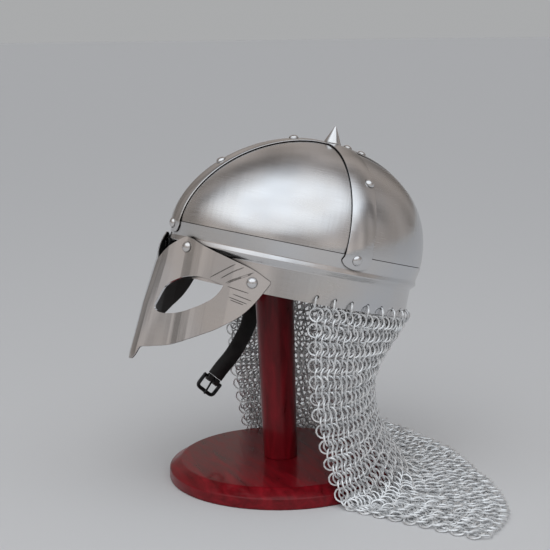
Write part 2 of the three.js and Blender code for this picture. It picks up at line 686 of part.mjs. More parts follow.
function buckleFrame() {
  const w = BUCKLE_WIDTH / 2;
  const outer = boxBetween([-BUCKLE_BAR / 2, -FRAME_BACK, -w], [BUCKLE_BAR / 2, BUCKLE_LENGTH, w]);
  const inner = boxBetween([-BUCKLE_BAR, -BUCKLE_LENGTH, -w + BUCKLE_BAR],
    [BUCKLE_BAR, BUCKLE_LENGTH - BUCKLE_BAR, w - BUCKLE_BAR]);
  const pin = new THREE.CylinderGeometry(BUCKLE_PIN_RADIUS, BUCKLE_PIN_RADIUS, 2 * w - BUCKLE_BAR, 12);
  const solid = toManifold(placeOnPin(outer, 0, true)).subtract(toManifold(placeOnPin(inner, 0, true)));
  return fromManifold(solid.add(toManifold(placeOnPin(pin, 0))));
}

function buckleProng() {
  const half = PRONG_WIDTH / 2;
  const profile = [[FOLD_RADIUS, -half], [PRONG_EYE, -half], [PRONG_EYE, half], [FOLD_RADIUS, half]]
    .map(([r, h]) => new THREE.Vector2(r, h));
  profile.push(profile[0].clone());
  const eye = new THREE.LatheGeometry(profile, 14);
  const tongue = boxBetween(
    [-PRONG_THICKNESS / 2, (FOLD_RADIUS + PRONG_EYE) / 2, -0.85 * half],
    [PRONG_THICKNESS / 2, BUCKLE_LENGTH + PRONG_OVERREACH, 0.85 * half]);
  const swing = new THREE.Matrix4().makeRotationZ(rad(-PRONG_REST));
  tongue.applyMatrix4(swing);
  const solid = toManifold(placeOnPin(eye, 0)).add(toManifold(placeOnPin(tongue, 0, true)));
  return fromManifold(solid);
}

const root = new THREE.Group();
root.name = 'spangenhelm';

function addPiece(parent, name, geometry, look) {
  const mesh = new THREE.Mesh(geometry, material(look));
  mesh.name = name;
  parent.add(mesh);
}

function turned(profile, segments) {
  const body = new THREE.LatheGeometry(profile.map(([r, z]) => new THREE.Vector2(r, z)), segments);
  body.rotateX(Math.PI / 2);
  return body;
}

const baseProfile = [[0, 0], [BASE_RADIUS, 0], [BASE_RADIUS, BASE_WALL], [BASE_TOP_RADIUS, BASE_HEIGHT],
  [0, BASE_HEIGHT]];
addPiece(root, 'stand_base', turned(baseProfile, SEGMENTS), 'wood');
const postFoot = BASE_HEIGHT + GAP;
// the cap's top stays just under the dome's inner surface, over its flat and over its bevel
const leanSlope = Math.tan(rad(POST_LEAN));
const crown = new THREE.Vector3(0, 0, DOME_BASE + DOME_RISE).applyMatrix4(helmet.matrix);
const capShift = -leanSlope * (crown.z - postFoot);
const plates = domePlates();

function lowestOver(radius) {
  const column = new THREE.CylinderGeometry(radius, radius, crown.z, 32);
  column.rotateX(Math.PI / 2);
  column.translate(0, capShift, crown.z);
  const probe = toManifold(column);
  const heights = plates.map((plate) => {
    const met = toManifold(plate.clone().applyMatrix4(helmet.matrix)).intersect(probe);
    return met.isEmpty() ? crown.z : met.boundingBox().min[2];
  });
  return Math.min(...heights);
}

const roofOverFlat = lowestOver(CAP_RADIUS - CAP_BEVEL);
const roofOverBevel = lowestOver(CAP_RADIUS) + CAP_BEVEL;
const CAP_TOP = Math.min(roofOverFlat, roofOverBevel) - CAP_CLEARANCE;
const postHead = CAP_TOP - CAP_THICKNESS - GAP;
const post = turned([[0, postFoot], [POST_FOOT_RADIUS, postFoot], [POST_HEAD_RADIUS, postHead],
  [0, postHead]], 32);
const leanMatrix = new THREE.Matrix4().set(
  1, 0, 0, 0,
  0, 1, -leanSlope, leanSlope * postFoot,
  0, 0, 1, 0,
  0, 0, 0, 1);
post.applyMatrix4(leanMatrix);
addPiece(root, 'stand_post', post, 'wood');
const cap = turned([[0, CAP_TOP - CAP_THICKNESS], [CAP_RADIUS, CAP_TOP - CAP_THICKNESS],
  [CAP_RADIUS, CAP_TOP - CAP_BEVEL], [CAP_RADIUS - CAP_BEVEL, CAP_TOP], [0, CAP_TOP]], 32);
cap.translate(0, capShift, 0);
addPiece(root, 'stand_cap', cap, 'wood');

root.add(helmet);
addPiece(helmet, 'brow_band', browBand(), 'steel');
plates.forEach((plate, i) => addPiece(helmet, `dome_plate_${i + 1}`, plate, 'steel'));

const crestStations = stations(CREST_FOOT, 26, true);
const crestRows = crestStations.length - 1;
const crestSide = (out) => (i, j) => {
  const along = crestStations[i];
  return crestPoint(along, lerp(-CREST_HALF_WIDTH, CREST_HALF_WIDTH, j / 2), out);
};
addPiece(helmet, 'crest_band', slab(crestRows, 2, crestSide(STRIP_THICKNESS), crestSide(0)), 'steel');
for (const [name, sign] of [['left', 1], ['right', -1]]) {
  const sideStations = stations(SIDE_FOOT, 16, false);
  const rows = sideStations.length - 1;
  const side = (out) => (i, j) => sidePoint(sign, sideStations[i], lerp(-1, 1, j / 2), out);
  addPiece(helmet, `side_band_${name}`, slab(rows, 2, side(STRIP_THICKNESS), side(0)), 'steel');
}

const crestTop = domeHeight(0, SPIKE_Y, STRIP_THICKNESS + GAP) + 2 * GAP;
const spike = turned([[0, 0], [SPIKE_RADIUS, 0], [SPIKE_RADIUS * 0.96, SPIKE_FOOT],
  [SPIKE_RADIUS * 0.58, SPIKE_NECK], [SPIKE_TIP_RADIUS, SPIKE_HEIGHT], [0, SPIKE_HEIGHT]], 20);
spike.translate(0, SPIKE_Y, crestTop);
addPiece(helmet, 'crown_spike', spike, 'rivet');

const crestSurface = (u, v) => crestPoint(u, v, STRIP_THICKNESS);
CREST_RIVETS.forEach((along, i) => {
  addPiece(helmet, `crest_rivet_${i + 1}`, rivetOn(crestSurface, along, 0, GAP), 'rivet');
});
for (const [name, sign] of [['left', 1], ['right', -1]]) {
  const surface = (u, v) => sidePoint(sign, u, v, STRIP_THICKNESS);
  SIDE_RIVETS.forEach(({ climb, across }, i) => {
    addPiece(helmet, `side_rivet_${name}_${i + 1}`, rivetOn(surface, climb, across, GAP), 'rivet');
  });
}

addPiece(helmet, 'spectacle_guard', guardGeometry(), 'steel');
const guardSurface = (u, v) => guardPoint(u, v, GUARD_THICKNESS);
GUARD_RIVETS.forEach(({ across, up }, i) => {
  const head = rivetOn(guardSurface, across * GUARD_HALF_WIDTH, up * BROW_HEIGHT, 2 * GAP);
  addPiece(helmet, `guard_rivet_${i + 1}`, head, 'rivet');
});

addPiece(root, 'mail_curtain_left', mailHalf(1), 'mail');
addPiece(root, 'mail_curtain_right', mailHalf(-1), 'mail');
addPiece(root, 'chin_strap', strapGeometry(), 'leather');
addPiece(root, 'buckle_frame', buckleFrame(), 'iron');
addPiece(root, 'buckle_prong', buckleProng(), 'iron');

export default root;
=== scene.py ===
"""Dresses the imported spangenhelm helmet, its mail curtain and its wooden stand.

Every length in the classes is in millimetres, as in the part's source. Meshes are
made in metres, in the same frame: the floor is z = 0, the helmet faces -Y and the
wearer's left is +X.
"""
import logging
import math
from dataclasses import dataclass, field
from enum import Enum

import bmesh
import bpy
import numpy as np
from mathutils import Euler, Matrix, Vector


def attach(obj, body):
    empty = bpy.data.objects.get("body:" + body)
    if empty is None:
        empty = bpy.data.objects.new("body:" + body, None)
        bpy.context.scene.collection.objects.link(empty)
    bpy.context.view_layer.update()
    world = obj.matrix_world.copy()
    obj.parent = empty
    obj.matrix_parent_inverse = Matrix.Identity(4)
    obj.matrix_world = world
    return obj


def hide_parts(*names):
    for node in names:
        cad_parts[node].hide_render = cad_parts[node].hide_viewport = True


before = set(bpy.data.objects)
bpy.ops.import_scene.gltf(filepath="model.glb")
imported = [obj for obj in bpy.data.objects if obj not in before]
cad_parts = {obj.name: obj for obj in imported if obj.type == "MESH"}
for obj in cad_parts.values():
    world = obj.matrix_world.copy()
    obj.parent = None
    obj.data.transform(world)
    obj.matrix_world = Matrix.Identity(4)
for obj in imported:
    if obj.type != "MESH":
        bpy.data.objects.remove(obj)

LOG = logging.getLogger("spangenhelm")
MM = 0.001
ROOT_BODY = "helmet_and_stand"
BUCKLE_BODY = "buckle"
PRONG_BODY = "prong"
# Painted shade: inner faces are moved this far along the polishing run, so that the steel finish darkens
# them.
INSIDE_RUN = 4000.0


Faces = list[tuple[int, ...]]
Body = tuple[np.ndarray, Faces]


class Side(Enum):
    """The wearer's two sides, by the sign of X."""

    LEFT = 1
    RIGHT = -1


# Number helpers


def signed_power(value: np.ndarray, power: float) -> np.ndarray:
    """Raise the size of a value to a power and keep its sign.

    Args:
        value: numbers of either sign.
        power: the exponent.

    Returns:
        The signed powers.
    """
    return np.sign(value) * np.abs(value) ** power


def smooth_table(at: np.ndarray, xs: list[float], ys: list[float]) -> np.ndarray:
    """Read a table by a curve that keeps its rises and falls.

    Args:
        at: where the table is read.
        xs: the table's rising column.
        ys: the column that is read.

    Returns:
        The values at each place.
    """
    x = np.asarray(xs, float)
    y = np.asarray(ys, float)
    h = np.diff(x)
    d = np.diff(y) / h
    m = np.zeros_like(y)
    m[0], m[-1] = d[0], d[-1]
    for i in range(1, len(x) - 1):
        if d[i - 1] * d[i] > 0:
            a, b = 2 * h[i] + h[i - 1], h[i] + 2 * h[i - 1]
            m[i] = (a + b) / (a / d[i - 1] + b / d[i])
    at = np.clip(at, x[0], x[-1])
    k = np.clip(np.searchsorted(x, at, side="right") - 1, 0, len(h) - 1)
    t = (at - x[k]) / h[k]
    return (y[k] * (1 + 2 * t) * (1 - t) ** 2 + m[k] * h[k] * t * (1 - t) ** 2
            + y[k + 1] * t * t * (3 - 2 * t) + m[k + 1] * h[k] * t * t * (t - 1))


def catmull_rom(points: np.ndarray, at: np.ndarray) -> np.ndarray:
    """Follow a centripetal curve through points, as the part's source does.

    Args:
        points: the points that the curve passes, one a row.
        at: shares of the run of points, 0 to 1.

    Returns:
        One point of the curve for each share.
    """
    n = len(points)
    result = []
    for share in np.atleast_1d(at):
        place = min(max(share, 0.0), 1.0) * (n - 1)
        i = min(int(place), n - 2)
        w = place - i
        p1, p2 = points[i], points[i + 1]
        p0 = points[i - 1] if i > 0 else 2 * p1 - p2
        p3 = points[i + 2] if i + 2 < n else 2 * p2 - p1
        d0 = np.linalg.norm(p1 - p0) ** 0.5
        d1 = max(np.linalg.norm(p2 - p1) ** 0.5, 1e-4)
        d2 = np.linalg.norm(p3 - p2) ** 0.5
        d0 = d0 if d0 > 1e-4 else d1
        d2 = d2 if d2 > 1e-4 else d1
        t1 = ((p1 - p0) / d0 - (p2 - p0) / (d0 + d1) + (p2 - p1) / d1) * d1
        t2 = ((p2 - p1) / d1 - (p3 - p1) / (d1 + d2) + (p3 - p2) / d2) * d1
        c2 = -3 * p1 + 3 * p2 - 2 * t1 - t2
        c3 = 2 * p1 - 2 * p2 + t1 + t2
        result.append(p1 + t1 * w + c2 * w * w + c3 * w ** 3)
    return np.array(result)


def even_run(points: np.ndarray, count: int) -> np.ndarray:
    """Space points evenly by length along a centripetal curve.

    Args:
        points: the points that the curve passes.
        count: how many steps the run has.

    Returns:
        count + 1 points.
    """
    dense = catmull_rom(points, np.linspace(0, 1, 161))
    steps = np.linalg.norm(np.diff(dense, axis=0), axis=1)
    length = np.concatenate([[0], np.cumsum(steps)])
    want = np.linspace(0, length[-1], count + 1)
    return np.stack([np.interp(want, length, dense[:, k]) for k in range(3)], -1)


# Mesh helpers


def new_piece(name: str, points: np.ndarray, faces: Faces,
              material: bpy.types.Material, sharp: float = 35.0,
              run: np.ndarray | None = None) -> bpy.types.Object:
    """Make a closed, smooth piece from points in millimetres.

    Args:
        name: the piece's name.
        points: the points, one a row.
        faces: each face's point numbers.
        material: the finish.
        sharp: edges over this angle in degrees stay sharp.
        run: for each point, how far along and across the polishing it lies, in millimetres.

    Returns:
        The new object, at the origin.
    """
    mesh = bpy.data.meshes.new(name)
    mesh.from_pydata((np.asarray(points) * MM).tolist(), [], faces)
    if run is not None:
        layer = mesh.uv_layers.new(name="run")
        index = np.empty(len(mesh.loops), dtype=np.int32)
        mesh.loops.foreach_get("vertex_index", index)
        layer.data.foreach_set("uv", (run[index] * MM).astype(np.float32).ravel())
    work = bmesh.new()
    work.from_mesh(mesh)
    bmesh.ops.remove_doubles(work, verts=work.verts, dist=1e-6)
    bmesh.ops.dissolve_degenerate(work, edges=work.edges, dist=1e-7)
    bmesh.ops.recalc_face_normals(work, faces=work.faces)
    work.to_mesh(mesh)
    work.free()
    finish_mesh(mesh, material, sharp)
    piece = bpy.data.objects.new(name, mesh)
    bpy.context.scene.collection.objects.link(piece)
    return piece


def finish_mesh(mesh: bpy.types.Mesh, material: bpy.types.Material, sharp: float) -> None:
    """Give a mesh its finish and its shading.

    Args:
        mesh: the mesh.
        material: the finish.
        sharp: edges over this angle in degrees stay sharp.
    """
    mesh.materials.clear()
    mesh.materials.append(material)
    mesh.polygons.foreach_set("use_smooth", [True] * len(mesh.polygons))
    mesh.set_sharp_from_angle(angle=math.radians(sharp))
    mesh.update()


def slab(outer: np.ndarray, inner: np.ndarray) -> Body:
    """Join two grids of points into one closed wall.

    Args:
        outer: rows by columns of outer points.
        inner: the inner points, in the same rows and columns.

    Returns:
        The points and the faces.
    """
    rows, cols = outer.shape[:2]
    points = np.concatenate([outer.reshape(-1, 3), inner.reshape(-1, 3)])
    half = rows * cols
    faces: Faces = []
    for i in range(rows - 1):
        for j in range(cols - 1):
            a = i * cols + j
            faces.append((a, a + 1, a + cols + 1, a + cols))
            faces.append((half + a, half + a + cols, half + a + cols + 1, half + a + 1))
    for j in range(cols - 1):
        for row, flip in ((0, True), (rows - 1, False)):
            a, b = row * cols + j, row * cols + j + 1
            quad = (a, b, half + b, half + a)
            faces.append(quad[::-1] if flip else quad)
    for i in range(rows - 1):
        for col, flip in ((0, False), (cols - 1, True)):
            a, b = i * cols + col, (i + 1) * cols + col
            quad = (a, b, half + b, half + a)
            faces.append(quad[::-1] if flip else quad)
    return points, faces


def ring_body(rings: list[np.ndarray], closed: bool = True) -> Body:
    """Join rings of points one to the next.

    Args:
        rings: the rings, each with the same number of points.
        closed: whether the last ring joins the first; otherwise both ends are capped.

    Returns:
        The points and the faces.
    """
    n = len(rings[0])
    points = np.concatenate(rings)
    faces: Faces = []
    count = len(rings)
    for i in range(count if closed else count - 1):
        a, b = i * n, ((i + 1) % count) * n
        for j in range(n):
            k = (j + 1) % n
            faces.append((a + j, a + k, b + k, b + j))
    if not closed:
        faces.append(tuple(range(n))[::-1])
        faces.append(tuple((count - 1) * n + j for j in range(n)))
    return points, faces


def lathe(profile: list[tuple[float, float]], segments: int) -> Body:
    """Turn a profile round Z.

    Args:
        profile: radius and height pairs, from one end on the axis to the other.
        segments: how many steps the turn has.

    Returns:
        The points and the faces.
    """
    turn = np.linspace(0, 2 * np.pi, segments, endpoint=False)
    rings = [np.stack([r * np.cos(turn), r * np.sin(turn), np.full(segments, z)], -1)
             for r, z in profile if r > 1e-6]
    return ring_body(rings, closed=False)


def rounded(profile: list[tuple[float, float]], radius: float, steps: int = 4) -> list[tuple[float, float]]:
    """Round the inner corners of a profile.

    Args:
        profile: radius and height pairs.
        radius: how far each rounding reaches.
        steps: the steps of each rounding.

    Returns:
        The profile with its corners rounded.
    """
    result = [profile[0]]
    for a, b, c in zip(profile, profile[1:], profile[2:]):
        pa, pb, pc = (np.array(p, float) for p in (a, b, c))
        reach = min(radius, np.linalg.norm(pa - pb) * 0.45, np.linalg.norm(pc - pb) * 0.45)
        start = pb + (pa - pb) / np.linalg.norm(pa - pb) * reach
        end = pb + (pc - pb) / np.linalg.norm(pc - pb) * reach
        for t in np.linspace(0, 1, steps + 1):
            point = start * (1 - t) ** 2 + pb * 2 * t * (1 - t) + end * t * t
            result.append((float(point[0]), float(point[1])))
    result.append(profile[-1])
    return result


def cut(piece: bpy.types.Object, cutter: bpy.types.Object) -> None:
    """Cut one piece by another, and remove the cutter.

    Args:
        piece: the piece that is cut.
        cutter: the closed shape that is taken away.
    """
    step = piece.modifiers.new("cut", "BOOLEAN")
    step.operation = "DIFFERENCE"
    step.object = cutter
    step.solver = "EXACT"
    step.use_self = True
    bake_modifiers(piece)
    bpy.data.objects.remove(cutter, do_unlink=True)


def bake_modifiers(piece: bpy.types.Object) -> None:
    """Turn a piece's evaluated shape into its plain mesh.

    Args:
        piece: the piece, which keeps its name.
    """
    bpy.context.view_layer.update()
    graph = bpy.context.evaluated_depsgraph_get()
    mesh = bpy.data.meshes.new_from_object(piece.evaluated_get(graph))
    piece.modifiers.clear()
    old = piece.data
    piece.data = mesh
    mesh.name = piece.name
    bpy.data.meshes.remove(old)


def merge(bodies: list[Body]) -> Body:
    """Put several bodies' points and faces together as one.

    Args:
        bodies: each body's points and faces.

    Returns:
        All points and all faces.
    """
    faces: Faces = []
    start = 0
    for points, sides in bodies:
        faces += [tuple(start + k for k in face) for face in sides]
        start += len(points)
    return np.concatenate([points for points, _ in bodies]), faces


def dress(piece: bpy.types.Object, slot: str, *nodes: str, body: str = ROOT_BODY) -> None:
    """Let a piece ride on its body and stand in for its solids.

    Args:
        piece: the piece.
        slot: not used.
        nodes: the solids that it replaces.
        body: the body that it rides on.
    """
    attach(piece, body)
    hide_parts(*nodes)
    LOG.info("%s: %d faces", piece.name, len(piece.data.polygons))


# Finishes


Socket = bpy.types.NodeSocket
Colour = tuple[float, float, float]


class Graph:
    """Adds nodes to a node tree."""

    def __init__(self, tree: bpy.types.NodeTree) -> None:
        """Work on a tree.

        Args:
            tree: the node tree.
        """
        self.tree = tree

    def node(self, kind: str, **values: float | Colour) -> bpy.types.Node:
        """Add a node.

        Args:
            kind: the node's type.
            values: its inputs' values, spaces in their names written as underscores.

        Returns:
            The node.
        """
        node = self.tree.nodes.new(kind)
        for name, value in values.items():
            node.inputs[name.replace("_", " ")].default_value = value
        return node

    def link(self, source: Socket, target: Socket) -> None:
        """Join two sockets."""
        self.tree.links.new(source, target)

    def feed(self, value: Socket | float | Colour, target: Socket) -> None:
        """Give a socket a link, a number or a colour.

        Args:
            value: what the socket gets.
            target: the socket.
        """
        if isinstance(value, Socket):
            self.link(value, target)
        else:
            target.default_value = (*value, 1.0) if isinstance(value, tuple) else value

    def math(self, operation: str, first: Socket, second: Socket | float) -> Socket:
        """Join two values by a sum, a product or the like.

        Args:
            operation: the math node's operation.
            first: the first value.
            second: the second value.

        Returns:
            The value socket.
        """
        node = self.node("ShaderNodeMath")
        node.operation = operation
        self.feed(first, node.inputs[0])
        self.feed(second, node.inputs[1])
        return node.outputs[0]

    def mix(self, share: Socket | float, first: Socket | Colour, second: Socket | Colour,
            kind: str = "MIX") -> Socket:
        """Mix two colours.

        Args:
            share: how much of the second colour or of the mix is used.
            first: the first colour.
            second: the second colour.
            kind: how they are mixed.

        Returns:
            The colour socket.
        """
        node = self.node("ShaderNodeMix")
        node.data_type = "RGBA"
        node.blend_type = kind
        for value, target in ((share, 0), (first, 6), (second, 7)):
            self.feed(value, node.inputs[target])
        return node.outputs[2]

    def stretch(self, vector: Socket, scale: Colour) -> Socket:
        """Scale coordinates along each axis.

        Args:
            vector: the coordinates.
            scale: the scale along each axis.

        Returns:
            The vector socket.
        """
        mapping = self.node("ShaderNodeMapping", Scale=scale)
        self.link(vector, mapping.inputs["Vector"])
        return mapping.outputs["Vector"]

    def noise(self, vector: Socket, scale: float, detail: float = 3.0, roughness: float = 0.5,
              distortion: float = 0.0) -> Socket:
        """Give the value of a noise.

        Args:
            vector: the coordinates.
            scale: the noise's scale.
            detail: its detail.
            roughness: its roughness.
            distortion: its distortion.

        Returns:
            The value socket.
        """
        node = self.node("ShaderNodeTexNoise", Scale=scale, Detail=detail, Roughness=roughness,
                         Distortion=distortion)
        self.link(vector, node.inputs["Vector"])
        return node.outputs["Fac"]

    def between(self, value: Socket, low: float, high: float, start: float = 0.3, end: float = 0.7,
                curve: str = "LINEAR") -> Socket:
        """Map a value onto a range.

        Args:
            value: the value socket.
            low: the result at start.
            high: the result at end.
            start: the value that gives low.
            end: the value that gives high.
            curve: how the result goes from low to high.

        Returns:
            The mapped value.
        """
        node = self.node("ShaderNodeMapRange", From_Min=start, From_Max=end, To_Min=low, To_Max=high)
        node.interpolation_type = curve
        self.link(value, node.inputs["Value"])
        return node.outputs["Result"]

    def smooth(self, value: Socket, zero: float, one: float) -> Socket:
        """Go softly from 0 where the value is zero's to 1 where it is one's."""
        ends = (0.0, 1.0) if zero < one else (1.0, 0.0)
        return self.between(value, *ends, min(zero, one), max(zero, one), "SMOOTHSTEP")


class Nodes(Graph):
    """Builds one material's node tree."""

    def __init__(self, name: str) -> None:
        """Start an empty material with its shader and output.

        Args:
            name: the material's name.
        """
        self.material = bpy.data.materials.new(name)
        self.material.use_nodes = True
        super().__init__(self.material.node_tree)
        self.tree.nodes.clear()
        self.shader = self.node("ShaderNodeBsdfPrincipled")
        self.link(self.shader.outputs[0], self.node("ShaderNodeOutputMaterial").inputs[0])

    def set(self, **values: float | tuple[float, ...]) -> None:
        """Set the shader's own sockets, spaces in their names written as underscores."""
        for name, value in values.items():
            self.shader.inputs[name.replace("_", " ")].default_value = value

    def drive(self, **sources: Socket) -> None:
        """Link sockets to the shader's own, named as in set."""
        for name, source in sources.items():
            self.link(source, self.shader.inputs[name.replace("_", " ")])

    def coordinates(self, scale: Colour = (1, 1, 1), run: bool = False) -> Socket:
        """Give scaled coordinates.

        Args:
            scale: the scale along each axis.
            run: whether the piece's own polishing run is read in place of its place.

        Returns:
            The vector socket.
        """
        source = self.node("ShaderNodeUVMap" if run else "ShaderNodeTexCoord")
        if run:
            source.uv_map = "run"
        return self.stretch(source.outputs["UV" if run else "Object"], scale)

    def cavity(self, reach: float) -> Socket:
        """Give how open the surface is, 0 in a tight corner and 1 on a free face, felt over a reach.

        Args:
            reach: how far off a wall is still felt, in metres.

        Returns:
            The value socket.
        """
        node = self.node("ShaderNodeAmbientOcclusion", Distance=reach)
        node.samples = 8
        return node.outputs["AO"]

    def colours(self, value: Socket, stops: list[tuple[float, Colour]]) -> Socket:
        """Turn a value into colours.

        Args:
            value: the value socket.
            stops: places from 0 to 1 and their colours.

        Returns:
            The colour socket.
        """
        node = self.node("ShaderNodeValToRGB")
        ramp = node.color_ramp
        while len(ramp.elements) < len(stops):
            ramp.elements.new(0.5)
        for element, (place, colour) in zip(ramp.elements, stops):
            element.position = place
            element.color = (*colour, 1.0)
        self.link(value, node.inputs["Fac"])
        return node.outputs["Color"]

    def bump(self, height: Socket, strength: float, distance: float, under: Socket | None = None) -> Socket:
        """Add a relief.

        Args:
            height: the height socket.
            strength: the relief's strength.
            distance: its depth in metres.
            under: a relief that this one lies on.

        Returns:
            The normal socket.
        """
        node = self.node("ShaderNodeBump", Strength=strength, Distance=distance)
        self.link(height, node.inputs["Height"])
        if under is not None:
            self.link(under, node.inputs["Normal"])
        return node.outputs["Normal"]


@dataclass(frozen=True)
class PolishedSteel:
    """Hand polished steel sheet with wiping marks along its run, and painted shade in its corners and on
    its inner faces.
    """

    name: str
    colour: Colour = (0.66, 0.67, 0.69)
    tint: Colour = (0.70, 0.665, 0.635)
    roughness: float = 0.22
    waviness: float = 0.35
    streaking: float = 0.5
    # How far the painted corner shade reaches, in metres.
    corner_shade_reach: float = 0.006
    # The colour of the painted shade on the inner faces.
    inside: Colour = (0.13, 0.125, 0.12)

    def build(self) -> bpy.types.Material:
        """Build the material.

        Returns:
            The material.
        """
        nodes = Nodes(self.name)
        nodes.set(Metallic=1.0, Anisotropic=0.3)
        cloud = nodes.noise(nodes.coordinates(), 14.0, 3.0)
        steel = nodes.colours(cloud, [(0.35, self.colour), (0.7, self.tint)])
        # Painted shade: the colour darkens where the surface is closed in, in corners, under the ridge and
        # along the seams beside the strips and rivets.
        corner_shade = nodes.colours(nodes.cavity(self.corner_shade_reach),
                              [(0.48, (0.03, 0.028, 0.026)), (0.68, (0.42, 0.41, 0.40)), (0.82, (1, 1, 1))])
        split = nodes.node("ShaderNodeSeparateXYZ")
        nodes.link(nodes.coordinates(run=True), split.inputs[0])
        # Painted shade: the inner faces, set far along the run, are darkened towards the inside colour.
        inside = nodes.between(split.outputs[0], 0.0, 1.0, INSIDE_RUN * MM * 0.45, INSIDE_RUN * MM * 0.55)
        shade = nodes.colours(inside, [(0.4, (1, 1, 1)), (0.6, self.inside)])
        whole = nodes.mix(1.0, nodes.mix(1.0, steel, corner_shade, "MULTIPLY"), shade, "MULTIPLY")
        marks = nodes.noise(nodes.coordinates((26, 900, 1), run=True), 1.0, 5.0, 0.6)
        wide = nodes.between(cloud, self.roughness - 0.05, self.roughness + 0.08)
        wide = nodes.math("ADD", wide, nodes.between(inside, 0.0, 0.25, 0.4, 0.6))
        wide = nodes.math("ADD", wide, nodes.between(marks, -0.03, 0.05))
        swell = nodes.noise(nodes.coordinates(), 21.0, 2.0, 0.4)
        relief = nodes.bump(swell, self.waviness, 0.0012)
        streaks = nodes.noise(nodes.coordinates((95, 9, 1), run=True), 1.0, 3.0, 0.55)
        relief = nodes.bump(streaks, self.streaking, 0.0004, relief)
        relief = nodes.bump(marks, 0.12, 0.00006, relief)
        nodes.drive(Base_Color=whole, Roughness=wide, Normal=relief)
        return nodes.material


@dataclass(frozen=True)
class MailWire:
    """Grey zinc-coated wire."""

    name: str = "mail_wire"
    light: Colour = (0.86, 0.87, 0.875)
    dark: Colour = (0.60, 0.61, 0.62)

    def build(self) -> bpy.types.Material:
        """Build the material.

        Returns:
            The material.
        """
        nodes = Nodes(self.name)
        nodes.set(Metallic=0.62)
        patch = nodes.noise(nodes.coordinates(), 190.0, 3.0)
        grain = nodes.noise(nodes.coordinates(), 900.0, 2.0)
        nodes.drive(Base_Color=nodes.colours(patch, [(0.35, self.dark), (0.6, self.light)]),
                    Roughness=nodes.between(patch, 0.28, 0.46), Normal=nodes.bump(grain, 0.25, 0.0002))
        return nodes.material


@dataclass(frozen=True)
class CherryLacquer:
    """Red cherry stain under a thick gloss lacquer."""

    name: str
    stretch: Colour
    dark: Colour = (0.07, 0.0015, 0.003)
    light: Colour = (0.21, 0.005, 0.011)

    def build(self) -> bpy.types.Material:
        """Build the material.

        Returns:
            The material.
        """
        nodes = Nodes(self.name)
        nodes.set(Coat_Weight=0.32, Coat_Roughness=0.08, Coat_IOR=1.45, Specular_IOR_Level=0.12)
        grain = nodes.noise(nodes.coordinates(self.stretch), 22.0, 6.0, 0.6, 0.6)
        dust = nodes.noise(nodes.coordinates(), 160.0, 2.0)
        nodes.drive(Base_Color=nodes.colours(grain, [(0.3, self.dark), (0.68, self.light)]),
                    Roughness=nodes.between(grain, 0.26, 0.4), Normal=nodes.bump(dust, 0.05, 0.0003))
        return nodes.material


@dataclass(frozen=True)
class StrapLeather:
    """Black dyed strap leather with a fine grain."""

    name: str = "strap_leather"
    dark: Colour = (0.006, 0.006, 0.007)
    light: Colour = (0.03, 0.029, 0.028)

    def build(self) -> bpy.types.Material:
        """Build the material.

        Returns:
            The material.
        """
        nodes = Nodes(self.name)
        nodes.set(Sheen_Weight=0.15)
        cells = nodes.node("ShaderNodeTexVoronoi", Scale=900.0)
        nodes.link(nodes.coordinates(), cells.inputs["Vector"])
        wear = nodes.noise(nodes.coordinates(), 90.0, 4.0)
        nodes.drive(Base_Color=nodes.colours(wear, [(0.35, self.dark), (0.75, self.light)]),
                    Roughness=nodes.between(wear, 0.38, 0.6),
                    Normal=nodes.bump(cells.outputs["Distance"], 0.35, 0.0002))
        return nodes.material


@dataclass(frozen=True)
class DarkIron:
    """Blackened buckle iron, rubbed brighter in places."""

    name: str = "dark_iron"
    dark: Colour = (0.018, 0.018, 0.02)
    light: Colour = (0.07, 0.07, 0.072)

    def build(self) -> bpy.types.Material:
        """Build the material.

        Returns:
            The material.
        """
        nodes = Nodes(self.name)
        nodes.set(Metallic=0.9)
        rub = nodes.noise(nodes.coordinates(), 260.0, 3.0)
        nodes.drive(Base_Color=nodes.colours(rub, [(0.4, self.dark), (0.72, self.light)]),
                    Roughness=nodes.between(rub, 0.28, 0.45), Normal=nodes.bump(rub, 0.1, 0.0003))
        return nodes.material


@dataclass(frozen=True)
class StudioPaper:
    """Plain pale paper under the object."""

    name: str = "studio_paper"
    colour: Colour = (0.56, 0.56, 0.565)

    def build(self) -> bpy.types.Material:
        """Build the material.

        Returns:
            The material.
        """
        nodes = Nodes(self.name)
        nodes.set(Base_Color=(*self.colour, 1.0), Roughness=0.8)
        return nodes.material


# Geometry nodes


